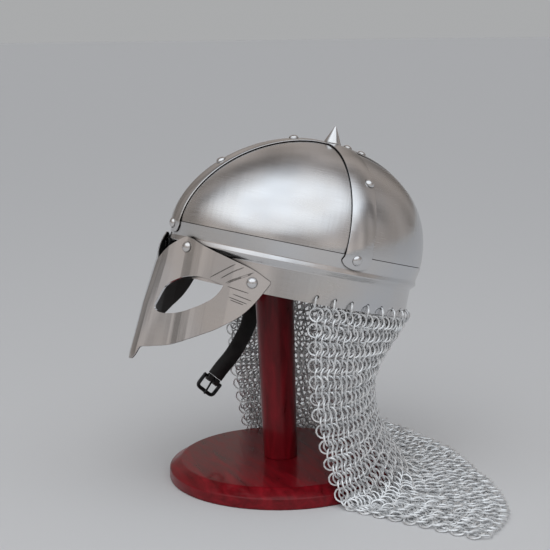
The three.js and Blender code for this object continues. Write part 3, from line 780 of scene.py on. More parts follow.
class ScatterTree(Graph):
    """A node tree that puts one small turned shape on every point of a mesh."""

    def __init__(self, name: str) -> None:
        """Start the tree.

        Args:
            name: the tree's name.
        """
        super().__init__(bpy.data.node_groups.new(name, "GeometryNodeTree"))
        self.keys: dict[str, str] = {}
        self.tree.interface.new_socket("Geometry", in_out="INPUT", socket_type="NodeSocketGeometry")
        self.tree.interface.new_socket("Geometry", in_out="OUTPUT", socket_type="NodeSocketGeometry")

    def add_input(self, label: str, kind: str, default: float | int | None = None) -> None:
        """Add a named input.

        Args:
            label: the input's name.
            kind: its socket type.
            default: its value if none is set.
        """
        socket = self.tree.interface.new_socket(label, in_out="INPUT", socket_type=kind)
        if default is not None:
            socket.default_value = default
        self.keys[label] = socket.identifier

    def scatter(self, shape: bpy.types.NodeSocket, group: bpy.types.Node) -> None:
        """Put the shape on the points, turned by their attribute, and finish the tree.

        Args:
            shape: the geometry that is repeated.
            group: the tree's input node.
        """
        turn = self.node("GeometryNodeInputNamedAttribute", Name="turn")
        turn.data_type = "FLOAT_VECTOR"
        to_turn = self.node("FunctionNodeEulerToRotation")
        place = self.node("GeometryNodeInstanceOnPoints")
        real = self.node("GeometryNodeRealizeInstances")
        paint = self.node("GeometryNodeSetMaterial")
        output = self.node("NodeGroupOutput")
        self.link(turn.outputs["Attribute"], to_turn.inputs[0])
        self.link(group.outputs["Geometry"], place.inputs["Points"])
        self.link(shape, place.inputs["Instance"])
        self.link(to_turn.outputs[0], place.inputs["Rotation"])
        self.link(place.outputs["Instances"], real.inputs["Geometry"])
        self.link(real.outputs["Geometry"], paint.inputs["Geometry"])
        self.link(group.outputs["Material"], paint.inputs["Material"])
        self.link(paint.outputs["Geometry"], output.inputs["Geometry"])


def link_tree(round_steps: int, wire_steps: int) -> ScatterTree:
    """Make the tree that puts a wire link on every point.

    Args:
        round_steps: the steps round a link.
        wire_steps: the steps round its wire.

    Returns:
        The tree.
    """
    tree = ScatterTree("mail_links")
    tree.add_input("Link radius", "NodeSocketFloat", 0.006)
    tree.add_input("Wire radius", "NodeSocketFloat", 0.0008)
    tree.add_input("Material", "NodeSocketMaterial")
    group = tree.node("NodeGroupInput")
    loop = tree.node("GeometryNodeCurvePrimitiveCircle", Resolution=round_steps)
    wire = tree.node("GeometryNodeCurvePrimitiveCircle", Resolution=wire_steps)
    sweep = tree.node("GeometryNodeCurveToMesh")
    tree.link(group.outputs["Link radius"], loop.inputs["Radius"])
    tree.link(group.outputs["Wire radius"], wire.inputs["Radius"])
    tree.link(loop.outputs["Curve"], sweep.inputs["Curve"])
    tree.link(wire.outputs["Curve"], sweep.inputs["Profile Curve"])
    tree.scatter(sweep.outputs["Mesh"], group)
    return tree


def head_tree(segments: int, rings: int) -> ScatterTree:
    """Make the tree that puts a domed rivet head on every point.

    Args:
        segments: the steps round a head.
        rings: the steps from its top to its under side.

    Returns:
        The tree.
    """
    tree = ScatterTree("rivet_heads")
    tree.add_input("Head radius", "NodeSocketFloat", 0.0042)
    tree.add_input("Head height", "NodeSocketFloat", 0.0027)
    tree.add_input("Material", "NodeSocketMaterial")
    group = tree.node("NodeGroupInput")
    ball = tree.node("GeometryNodeMeshUVSphere", Segments=segments, Rings=rings, Radius=1.0)
    size = tree.node("ShaderNodeCombineXYZ")
    shape = tree.node("GeometryNodeTransform")
    tree.link(group.outputs["Head radius"], size.inputs["X"])
    tree.link(group.outputs["Head radius"], size.inputs["Y"])
    tree.link(group.outputs["Head height"], size.inputs["Z"])
    tree.link(ball.outputs["Mesh"], shape.inputs["Geometry"])
    tree.link(size.outputs["Vector"], shape.inputs["Scale"])
    tree.scatter(shape.outputs["Geometry"], group)
    return tree


def scattered_piece(name: str, places: np.ndarray, axes: np.ndarray, tree: ScatterTree,
                    material: bpy.types.Material, values: dict[str, float]) -> bpy.types.Object:
    """Run a scatter tree over places and keep the result as a plain mesh.

    Args:
        name: the piece's name.
        places: the points in millimetres.
        axes: for each point, its three own axes as columns.
        tree: the scatter tree.
        material: the finish.
        values: the tree's sizes by input name, in metres.

    Returns:
        The finished piece.
    """
    mesh = bpy.data.meshes.new(name)
    mesh.from_pydata((places * MM).tolist(), [], [])
    turn = mesh.attributes.new("turn", "FLOAT_VECTOR", "POINT")
    eulers = np.array([tuple(Matrix(a.tolist()).to_euler()) for a in axes], dtype=np.float32)
    turn.data.foreach_set("vector", eulers.ravel())
    piece = bpy.data.objects.new(name, mesh)
    bpy.context.scene.collection.objects.link(piece)
    step = piece.modifiers.new("scatter", "NODES")
    step.node_group = tree.tree
    for label, value in values.items():
        step[tree.keys[label]] = value
    step[tree.keys["Material"]] = material
    bake_modifiers(piece)
    finish_mesh(piece.data, material, 60.0)
    return piece


# The helmet's form


@dataclass
class HelmetForm:
    """The helmet's sizes and surfaces, the same as in the part's source."""

    tilt: float = 14.2
    lean: float = -3.1
    rim_y: float = 8.2
    rim_z: float = 167.3
    half_length: float = 112.3
    half_width: float = 96.5
    plan_power: float = 1.9
    band_height: float = 45.5
    band_thickness: float = 1.8
    band_flare: float = 5.8
    ridge_foot: float = 24.6
    ridge_edge: float = 29.3
    ridge_top: float = 33.6
    ridge_depth: float = 4.4
    plate_thickness: float = 1.6
    dome_rise: float = 92.4
    side_power: float = 1.9
    front_power: float = 1.76
    rear_power: float = 2.4
    gap: float = 0.4
    seam_y: float = 13.0
    strip_thickness: float = 1.6

    def __post_init__(self) -> None:
        """Work out the dome's foot and the helmet's place on the stand."""
        self.dome_base = self.band_height + 0.6
        self.dome_out = self.band_flare - 0.6
        t, n = math.radians(-self.tilt), math.radians(self.lean)
        turn = Matrix.Rotation(t, 3, "X") @ Matrix.Rotation(n, 3, "Y")
        self.turn = np.array(turn)
        self.shift = np.array([0.0, self.rim_y, self.rim_z])

    def place(self, points: np.ndarray) -> np.ndarray:
        """Move points of the upright helmet to their place on the stand."""
        return points @ self.turn.T + self.shift

    def plan(self, degrees: np.ndarray, out: np.ndarray | float) -> tuple[np.ndarray, np.ndarray]:
        """Give the plan of the helmet, 0 at the front and 90 at the wearer's left.

        Args:
            degrees: the angle.
            out: how far outside the rim.

        Returns:
            x and y.
        """
        a = np.radians(degrees)
        e = 2 / self.plan_power
        return ((self.half_width + out) * signed_power(np.sin(a), e),
                -(self.half_length + out) * signed_power(np.cos(a), e))

    def band_out(self, z: np.ndarray | float) -> np.ndarray:
        """Give how far the brow band stands out at a height."""
        return np.interp(z, [0, self.ridge_foot, self.ridge_edge, self.ridge_top, self.band_height],
                         [0, 0, self.ridge_depth, self.ridge_depth - 1, self.band_flare])

    def dome_height(self, x: np.ndarray, y: np.ndarray, out: float) -> np.ndarray:
        """Give the dome's height over a place in plan.

        Args:
            x: across the helmet.
            y: along it.
            out: how far the surface is moved out.

        Returns:
            The heights above the rim.
        """
        ax = np.abs(x / (self.half_width + self.dome_out + out)) ** self.plan_power
        ay = np.abs(y / (self.half_length + self.dome_out + out)) ** self.plan_power
        share = np.minimum(1.0, (ax + ay) ** (1 / self.plan_power))
        along = ay / (ax + ay + 1e-9)
        ends = np.where(y < 0, self.front_power, self.rear_power)
        power = self.side_power * (1 - along) + ends * along
        return self.dome_base + (self.dome_rise + out) * (1 - share ** power) ** (1 / power)

    def pull(self, y: np.ndarray, out: np.ndarray | float) -> np.ndarray:
        """Give the share of the half width that the plan has at a distance along."""
        return (1 - np.abs(y / (self.half_length + out)) ** self.plan_power) ** (1 / self.plan_power)


@dataclass
class Dome:
    """The four plates of the dome."""

    form: HelmetForm
    columns: int = 44
    rows: int = 34
    skirt: float = 7.0

    def plate(self, name: str, front: bool, side: Side, material: bpy.types.Material) -> bpy.types.Object:
        """Build one plate.

        Args:
            name: the piece's name.
            front: whether it is a front plate.
            side: the wearer's side that it is on.
            material: the finish.

        Returns:
            The plate.
        """
        form = self.form
        e = 2 / form.plan_power
        seam = math.degrees(math.acos(-(form.seam_y / (form.half_length + form.dome_out)) ** (1 / e)))
        angles = np.linspace(0, seam, self.columns) if front else np.linspace(180, seam, self.columns)
        steps = np.sin(np.linspace(0, math.pi / 2 - 0.035, self.rows))
        walls = []
        for out in (0.0, -form.plate_thickness):
            bx, by = form.plan(angles, form.dome_out + out)
            x = steps[:, None] * bx[None, :]
            y = form.seam_y + steps[:, None] * (by[None, :] - form.seam_y)
            z = form.dome_height(x, y, out)
            rows = [np.stack([x, y, z], -1)]
            tuck = form.band_flare - form.band_thickness - form.gap + out
            for lower, height in ((form.dome_out - 0.1 + out, form.band_height + form.gap + 0.15),
                                  (tuck, form.band_height + form.gap),
                                  (tuck - 0.3, form.band_height - 1.0),
                                  (form.band_out(form.band_height - self.skirt) - form.band_thickness
                                   - form.gap + out, form.band_height - self.skirt)):
                lx, ly = form.plan(angles, lower)
                rows.append(np.stack([lx, ly, np.full_like(lx, height)], -1)[None])
            walls.append(np.concatenate(rows))
        for wall in walls:
            wall[..., 0] = (wall[..., 0] + form.gap * 0.6) * side.value
            wall[..., 1] += form.gap * 0.6 * (-1 if front else 1)
        points, faces = slab(walls[0], walls[1])
        run = np.stack([points[:, 0] * 0.4 + points[:, 1], points[:, 2]], -1)
        run[len(points) // 2:, 0] += INSIDE_RUN
        return new_piece(name, form.place(points), faces, material, run=run)

    def build(self, material: bpy.types.Material) -> None:
        """Build and place the four plates.

        Args:
            material: the plates' material.
        """
        table = (("plate_front_left", True, Side.LEFT, "dome_plate_1"),
                 ("plate_front_right", True, Side.RIGHT, "dome_plate_2"),
                 ("plate_rear_right", False, Side.RIGHT, "dome_plate_3"),
                 ("plate_rear_left", False, Side.LEFT, "dome_plate_4"))
        for name, front, side, node in table:
            dress(self.plate(name, front, side, material), "polished_steel", node)


@dataclass
class BrowBand:
    """The ring round the head, with its raised ridge and the mail holes."""

    form: HelmetForm
    segments: int = 240
    holes: int = 22
    hole_radius: float = 1.6
    hole_height: float = 6.0
    hole_start: float = 81.0
    corner: float = 0.7
    corner_steps: int = 4
    sharp: float = 28.0
    run_per_degree: float = 1.85
    drill_reach: float = 6.0
    drill_segments: int = 20

    def hole_angles(self) -> np.ndarray:
        """Give the angle of each mail hole."""
        return np.linspace(self.hole_start, 360 - self.hole_start, self.holes)

    def profile(self) -> list[tuple[float, float]]:
        """Give the outer face's stand-out and height pairs, with soft corners.

        Returns:
            Pairs of stand-out and height, from the rim up.
        """
        form = self.form
        corners = [(0.0, 0.0), (0.0, form.ridge_foot), (form.ridge_depth, form.ridge_edge),
                   (form.ridge_depth - 1, form.ridge_top), (form.band_flare, form.band_height)]
        return rounded(corners, self.corner, self.corner_steps)

    def build(self, material: bpy.types.Material) -> None:
        """Build the band.

        Args:
            material: the finish.
        """
        form = self.form
        degrees = np.linspace(0, 360, self.segments, endpoint=False)
        outer = self.profile()
        inner = [(out - form.band_thickness, z) for out, z in reversed(outer)]
        rings = []
        runs = []
        for out, z in outer + inner:
            x, y = form.plan(degrees, out)
            rings.append(np.stack([x, y, np.full_like(x, z)], -1))
            inside = INSIDE_RUN if len(rings) > len(outer) else 0.0
            runs.append(np.stack([degrees * self.run_per_degree + inside, np.full_like(x, z + out)], -1))
        points, faces = ring_body(rings)
        band = new_piece("band_of_the_brow", form.place(points), faces, material, self.sharp,
                         run=np.concatenate(runs))
        cut(band, self.drills())
        finish_mesh(band.data, material, self.sharp)
        dress(band, "polished_steel", "brow_band")

    def drills(self) -> bpy.types.Object:
        """Make one object of all the rods that drill the holes.

        Returns:
            The object of the rods.
        """
        form = self.form
        far = self.drill_reach
        rod, faces = lathe([(0, -far), (self.hole_radius, -far), (self.hole_radius, far), (0, far)],
                           self.drill_segments)
        rods = []
        for angle in self.hole_angles():
            x, y = form.plan(np.array(angle), 0.0)
            axis = Vector((float(x) / form.half_width ** 2, float(y) / form.half_length ** 2, 0))
            turn = np.array(Vector((0, 0, 1)).rotation_difference(axis.normalized()).to_matrix())
            rods.append((rod @ turn.T + np.array([float(x), float(y), self.hole_height]), faces))
        points, faces = merge(rods)
        return new_piece("mail_hole_drills", form.place(points), faces, bpy.data.materials[0])


@dataclass
class Strips:
    """The crest band over the crown and the two side bands."""

    form: HelmetForm
    crest_half_width: float = 10.8
    crest_end: float = 36.0
    crest_foot: float = 0.07
    side_foot: float = 0.12
    side_foot_y: float = 11.5
    side_crown_y: float = 17.0
    side_half_width: float = 12.6
    side_end: float = 34.0
    side_taper: float = 1.2
    side_flare: float = 3.0
    end_clip: float = 0.6
    end_arch: float = 7.5
    crown: float = 1.0
    rise: float = 0.5
    edge_rounding: float = 0.35
    columns: int = 9
    crest_run: float = 330.0
    side_columns: int = 17
    side_run: float = 150.0
    side_run_across: float = 12.0

    def crest_point(self, along: np.ndarray, x: np.ndarray, out: float) -> np.ndarray:
        """Give a place on the crest band.

        Args:
            along: 0 at the front end to 1 at the rear end.
            x: across the helmet.
            out: how far off the band's under side.

        Returns:
            The points in the upright helmet.
        """
        form, foot = self.form, self.crest_foot
        x = x * (1 - self.end_clip * np.clip(1 - np.minimum(along, 1 - along) / (foot * 0.5), 0, 1) ** 2)
        side = np.abs(x / (form.half_width + form.dome_out)) ** form.plan_power
        pull = (1 - side) ** (1 / form.plan_power)
        near = np.minimum(along, 1 - along)
        sign = np.where(along < 0.5, -1.0, 1.0)
        low_z = self.crest_end + (form.band_height + 1.4 - self.crest_end) * near / foot * 1.5
        low_out = form.band_out(np.minimum(low_z, form.band_height)) + form.gap + out
        low = np.stack([x, sign * (form.half_length + low_out) * pull, low_z], -1)
        swing = np.radians(-84 + 168 * np.clip((along - foot) / (1 - 2 * foot), 0, 1))
        y = (form.half_length + form.dome_out + form.gap + out) * np.sin(swing) * pull
        high = np.stack([x, y, form.dome_height(x, y, form.gap + out)], -1)
        return np.where((near < foot - 1e-6)[..., None], low, high)

    def side_point(self, side: Side, climb: np.ndarray, across: np.ndarray, out: float) -> np.ndarray:
        """Give a place on a side band.

        Args:
            side: the wearer's side.
            climb: 0 at the lower end to 1 at the crest.
            across: -1 at the front edge to 1 at the rear edge.
            out: how far off the band's under side.

        Returns:
            The points in the upright helmet.
        """
        form, foot = self.form, self.side_foot
        turn = np.clip((climb - foot) / (1 - foot), 0, 1)
        swing = np.radians(7 + 75.6 * turn)
        y = (self.side_foot_y + (self.side_crown_y - self.side_foot_y) * np.sin(swing)
             + across * (self.side_half_width - self.side_taper * turn)
             - self.side_flare * np.clip(1 - climb / foot, 0, 1) * (1 - across) / 2)
        low_z = self.side_end + (form.band_height + 1.4 - self.side_end) * 1.5 * climb / foot
        low_z = low_z + (self.end_arch * (1 - np.sqrt(1 - (0.992 * across) ** 2))
                         * np.clip(1 - climb * 2 / foot, 0, 1))
        low_out = form.band_out(np.minimum(low_z, form.band_height)) + form.gap + out
        low = np.stack([side.value * (form.half_width + low_out) * form.pull(y, low_out), y, low_z], -1)
        dome = form.dome_out + form.gap + out
        x = (form.half_width + dome) * np.cos(swing) * form.pull(y, dome)
        high = np.stack([side.value * x, y, form.dome_height(x, y, form.gap + out)], -1)
        return np.where((climb < foot - 1e-6)[..., None], low, high)

    def stations(self, foot: float, count: int, both: bool) -> np.ndarray:
        """Give the shares along a strip where its shape is worked out.

        Args:
            foot: the share of the strip that lies on the band.
            count: how many shares lie on the dome.
            both: whether both ends lie on the band.

        Returns:
            The shares, from 0 to 1.
        """
        low = [0, foot * 0.05, foot * 0.12, foot * 0.2, foot * 0.3, foot * 0.4, foot * 0.5, foot * 0.66]
        middle = np.linspace(foot, 1 - foot if both else 1, count)
        if both:
            return np.concatenate([low, middle, 1 - np.array(low[::-1])])
        return np.concatenate([low, middle])

    def build(self, material: bpy.types.Material) -> None:
        """Build and place the three strips.

        Args:
            material: the finish.
        """
        form = self.form
        along = self.stations(self.crest_foot, 90, True)
        across = np.linspace(-self.crest_half_width, self.crest_half_width, self.columns)
        a, x = np.meshgrid(along, across, indexing="ij")
        arch = self.crown * (1 - (x / self.crest_half_width) ** 2)
        points, faces = slab(self.crest_point(a, x, form.strip_thickness + self.rise - self.crown + arch),
                             self.crest_point(a, x, 0))
        run = np.stack([np.tile(a.ravel() * self.crest_run, 2), np.tile(x.ravel(), 2)], -1)
        self.finish("band_of_the_crest", "crest_band", points, faces, run, material)
        for side, node in ((Side.LEFT, "side_band_left"), (Side.RIGHT, "side_band_right")):
            climb = self.stations(self.side_foot, 56, False)
            spread = np.sin(np.linspace(-math.pi / 2, math.pi / 2, self.side_columns))
            c, s = np.meshgrid(climb, spread, indexing="ij")
            outer = self.side_point(side, c, s, form.strip_thickness + self.rise - self.crown * s * s)
            points, faces = slab(outer, self.side_point(side, c, s, 0))
            run = np.stack([np.tile(c.ravel() * self.side_run, 2),
                            np.tile(s.ravel() * self.side_run_across, 2)], -1)
            self.finish(f"band_of_the_{side.name.lower()}_side", node, points, faces, run, material)

    def finish(self, name: str, node: str, points: np.ndarray, faces: Faces,
               run: np.ndarray, material: bpy.types.Material) -> None:
        """Place one strip and soften its edges.

        Args:
            name: the piece's name.
            node: the CAD node that it replaces.
            points: the strip's points.
            faces: its faces.
            run: each point's place in the polishing run.
            material: the strip's material.
        """
        piece = new_piece(name, self.form.place(points), faces, material, 40.0, run=run)
        soften(piece, self.edge_rounding)
        dress(piece, "polished_steel", node)


def soften(piece: bpy.types.Object, width: float, segments: int = 2) -> None:
    """Round a piece's sharp edges.

    Args:
        piece: the piece.
        width: the rounding in millimetres.
        segments: the steps of the rounding.
    """
    step = piece.modifiers.new("soft_edges", "BEVEL")
    step.width = width * MM
    step.segments = segments
    step.limit_method = "ANGLE"
    step.angle_limit = math.radians(50)
    step.harden_normals = False
    material = piece.data.materials[0]
    bake_modifiers(piece)
    finish_mesh(piece.data, material, 50.0)


@dataclass
class SpectacleGuard:
    """The eye guard with its two eye holes, brow arches and nose piece."""

    form: HelmetForm
    thickness: float = 1.6
    half_width: float = 83.5
    front_offset: float = 4.95
    tail_offset: float = 0.45
    blend_start: float = 48.0
    blend_end: float = 74.0
    nose_rise: float = 8.5
    nose_half_width: float = 30.0
    nose_power: float = 1.5
    nose_flares: tuple[tuple[float, float, float], ...] = ((-0.12, 0.38, 0.594), (0.38, 0.95, 0.377))
    brow_height: float = 34.0
    nose_drop: float = 79.0
    eye_inner: float = 13.6
    eye_width: float = 49.2
    eye_height: float = 37.7
    eye_top: float = 3.3
    top: list[tuple[float, float]] = field(default_factory=lambda: [
        (0, 0.3), (0.061, 0.431), (0.109, 0.562), (0.17, 0.713), (0.221, 0.822), (0.264, 0.912),
        (0.322, 1.0), (0.4, 0.975), (0.475, 0.915), (0.7, 0.74), (0.9, 0.53), (1, 0.32)])
    bottom: list[tuple[float, float]] = field(default_factory=lambda: [
        (0, 1.0), (0.035, 0.992), (0.065, 0.968), (0.088, 0.93), (0.102, 0.88), (0.115, 0.848),
        (0.186, 0.82), (0.323, 0.763), (0.5, 0.673), (0.66, 0.56), (0.785, 0.435), (0.86, 0.32),
        (0.915, 0.197), (0.955, 0.068), (1, -0.115)])
    eye: list[tuple[float, float]] = field(default_factory=lambda: [
        (0, 0.886), (0.024, 0.708), (0.077, 0.427), (0.148, 0.284), (0.23, 0.186), (0.339, 0.09),
        (0.502, 0.032), (0.671, 0), (0.795, 0.003), (0.907, 0.04), (1, 0.085), (0.98, 0.196),
        (0.941, 0.326), (0.878, 0.464), (0.772, 0.605), (0.644, 0.73), (0.518, 0.825), (0.37, 0.905),
        (0.234, 0.963), (0.136, 0.99), (0.053, 0.963)])
    creases: tuple[float, ...] = (0, 7, 13, 19, 24.5, 28, 31.5, 37, 45, 55, 67, 90)
    crease_share: float = 0.75
    crease_width: float = 0.006
    columns: int = 90
    rows: int = 44
    sharp: float = 32.0
    eye_corner: int = 10
    cutter_depths: tuple[float, float] = (-160.0, -40.0)
    stroke_width: float = 0.72
    stroke_depth: float = 0.5
    strokes: list[tuple[float, float, float, float]] = field(default_factory=lambda: [
        (54.3, 4.5, 67.2, 19.7), (60.6, 5.6, 71.1, 18.4), (64.0, 2.9, 75.7, 15.7), (64.9, 2.6, 74.9, 13.9),
        (65.3, 0.3, 75.3, -2.0), (68.5, -5.1, 77.1, -7.8), (67.8, -10.3, 74.0, -12.3),
        (67.0, -8.2, 75.4, -11.0)])

    def point(self, x: np.ndarray, z: np.ndarray, out: float) -> np.ndarray:
        """Give a place on the guard.

        Args:
            x: across the helmet.
            z: the height above the rim.
            out: how far off the guard's inner face.

        Returns:
            The points in the upright helmet.
        """
        form = self.form
        blend = np.clip((np.abs(x) - self.blend_start) / (self.blend_end - self.blend_start), 0, 1)
        offset = self.front_offset + (self.tail_offset - self.front_offset) * blend + out
        x = x * (form.half_width + offset) / (form.half_width + offset - out + self.thickness)
        wall = (form.half_length + offset) * (1 - np.abs(x / (form.half_width + offset))
                                              ** form.plan_power) ** (1 / form.plan_power)
        depth = -z / self.nose_drop
        rise = sum((np.clip((depth - start) / (end - start), 0, 1) * out
                    for start, end, out in self.nose_flares), 1.0)
        return np.stack([x, -(wall + self.nose_rise * rise * self.swell(x)), z], -1)

    def swell(self, x: np.ndarray) -> np.ndarray:
        """Give the share of the nose's rise at a place across."""
        return np.maximum(0, 1 - (x / self.nose_half_width) ** 2) ** self.nose_power

    def creased(self, x: np.ndarray, z: np.ndarray, out: float) -> np.ndarray:
        """Give a place on the guard with the soft upright creases of its bending.

        Args:
            x: places across.
            z: heights.
            out: how far outside the inner face.

        Returns:
            The points.
        """
        smooth = self.point(x, z, out)
        knots = np.array(self.creases)
        index = np.clip(np.searchsorted(knots, np.abs(x), side="right") - 1, 0, len(knots) - 2)
        low, high = knots[index], knots[index + 1]
        sign = np.where(x < 0, -1.0, 1.0)
        share = ((np.abs(x) - low) / (high - low))[..., None]
        flat = self.point(sign * low, z, out) * (1 - share) + self.point(sign * high, z, out) * share
        return smooth + (flat - smooth) * self.crease_share

    def build(self, material: bpy.types.Material) -> None:
        """Build the guard.

        Args:
            material: the finish.
        """
        knots = np.array(self.creases[1:-1]) / self.half_width
        share = np.unique(np.concatenate([np.linspace(0, 1, self.columns), knots - self.crease_width, knots,
                                          knots + self.crease_width]))
        xs = np.concatenate([-share[:0:-1], share]) * self.half_width
        part = np.abs(xs) / self.half_width
        top = smooth_table(part, *zip(*self.top)) * self.brow_height
        low = -smooth_table(part, *zip(*self.bottom)) * self.nose_drop
        rows = np.linspace(0, 1, self.rows)
        z = low[None] + (top - low)[None] * rows[:, None]
        x = np.broadcast_to(xs[None], z.shape)
        points, faces = slab(self.creased(x, z, self.thickness), self.creased(x, z, 0.0))
        run = np.stack([points[:, 0], points[:, 2]], -1)
        run[len(points) // 2:, 0] += INSIDE_RUN
        guard = new_piece("guard_of_the_eyes", self.form.place(points), faces, material, 40.0, run=run)
        cut(guard, self.eye_cutter())
        cut(guard, self.stroke_cutter())
        finish_mesh(guard.data, material, self.sharp)
        dress(guard, "polished_steel", "spectacle_guard")

    def eye_cutter(self) -> bpy.types.Object:
        """Make the two bars that cut the eye holes.

        Returns:
            The object of the two bars.
        """
        loop = np.roll(np.array(self.eye), -self.eye_corner, axis=0)
        loop = np.concatenate([loop, loop[:1]])
        flat = catmull_rom(np.c_[loop * [self.eye_width, self.eye_height], np.zeros(len(loop))],
                           np.linspace(0, 1, 97))[:-1]
        bars = []
        for side in Side:
            x = side.value * (self.eye_inner + flat[:, 0])
            z = self.eye_top - flat[:, 1]
            rings = [np.stack([x, np.full_like(x, y), z], -1) for y in self.cutter_depths]
            bars.append(ring_body(rings, closed=False))
        points, faces = merge(bars)
        return new_piece("eye_cutters", self.form.place(points), faces, bpy.data.materials[0])

    def stroke_cutter(self) -> bpy.types.Object:
        """Make the thin bars that engrave the fan of strokes at each tail.

        Returns:
            The object of the bars.
        """
        bars = []
        deep, high = self.thickness - self.stroke_depth, self.thickness + 2
        for side in Side:
            for x0, z0, x1, z1 in self.strokes:
                t = np.linspace(0, 1, 9)
                xs, zs = x0 + (x1 - x0) * t, z0 + (z1 - z0) * t
                run = np.array([x1 - x0, z1 - z0]) / math.hypot(x1 - x0, z1 - z0)
                taper = np.interp(t, [0, 0.2, 0.85, 1], [0.25, 1, 1, 0.3]) * self.stroke_width / 2
                corners = []
                for edge, out in ((-1, deep), (1, deep), (1, high), (-1, high)):
                    px, pz = xs - run[1] * taper * edge, zs + run[0] * taper * edge
                    corners.append(self.creased(side.value * px, pz, out))
                bars.append(ring_body(list(np.stack(corners, 1)), closed=False))
        points, faces = merge(bars)
        return new_piece("stroke_cutters", self.form.place(points), faces, bpy.data.materials[0])


@dataclass
class Rivets:
    """The domed rivet heads and the crown spike."""

    form: HelmetForm
    strips: Strips
    guard: SpectacleGuard
    radius: float = 4.5
    height: float = 3.2
    crest: tuple[float, ...] = (0.03, 0.26, 0.442, 0.576, 0.615, 0.8, 0.965)
    side: tuple[tuple[float, float], ...] = ((0.05, -0.1), (0.55, 0.6))
    guard_spots: tuple[tuple[float, float], ...] = ((28.7, 25.4), (-28.7, 25.4), (75.9, 7.1), (-75.9, 7.1))
    segments: int = 28
    rings: int = 16
    spike_radius: float = 8.0
    spike_height: float = 16.0
    spike_y: float = 14.9

    def spots(self) -> tuple[np.ndarray, np.ndarray]:
        """Give each head's place and outward direction.

        Returns:
            The places and the directions.
        """
        lift = self.form.strip_thickness
        surfaces = []
        for along in self.crest:
            surfaces.append((lambda u, v: self.strips.crest_point(u, v, lift), along, 0.0))
        for side in Side:
            for climb, across in self.side:
                surfaces.append((lambda u, v, s=side: self.strips.side_point(s, u, v, lift), climb, across))
        for x, z in self.guard_spots:
            surfaces.append((lambda u, v: self.guard.creased(u, v, self.guard.thickness), x, z))
        places = []
        normals = []
        step = 1e-3
        for surface, u, v in surfaces:
            at = lambda a, b: surface(np.array(float(a)), np.array(float(b)))
            here = at(u, v)
            normal = np.cross(at(u + step, v) - at(u - step, v), at(u, v + step) - at(u, v - step))
            normal = normal / np.linalg.norm(normal)
            if normal @ (here - np.array([0, 10, 45])) < 0:
                normal = -normal
            places.append(here)
            normals.append(normal)
        return np.array(places), np.array(normals)

    def build(self, material: bpy.types.Material) -> None:
        """Build the heads and the spike.

        Args:
            material: the finish.
        """
        places, normals = self.spots()
        axes = []
        for normal in normals:
            world = self.form.turn @ normal
            turn = Vector((0, 0, 1)).rotation_difference(Vector(world)).to_matrix()
            axes.append(np.array(turn))
        piece = scattered_piece("rivet_heads", self.form.place(places), np.array(axes),
                                head_tree(self.segments, self.rings), material,
                                {"Head radius": self.radius * MM, "Head height": self.height * MM})
        dress(piece, "rivet_steel", *(f"crest_rivet_{i + 1}" for i in range(len(self.crest))),
              *(f"side_rivet_{s}_{i + 1}" for s in ("left", "right") for i in range(len(self.side))),
              *(f"guard_rivet_{i + 1}" for i in range(len(self.guard_spots))))
        r, h = self.spike_radius, self.spike_height
        profile = [(0, -1.2), (r, -1.2), (r, 0.4), (r * 0.96, 0.9), (r * 0.58, 7.5),
                   (0.9, h - 0.6), (0.35, h), (0, h)]
        points, faces = lathe(rounded(profile, 0.5, 3), 48)
        top = float(self.form.dome_height(np.array(0.0), np.array(self.spike_y), self.form.gap
                                          + self.form.strip_thickness)) + self.form.gap
        points = points + np.array([0, self.spike_y, top])
        spike = new_piece("spike_of_the_crown", self.form.place(points), faces, material, 40.0)
        dress(spike, "rivet_steel", "crown_spike")


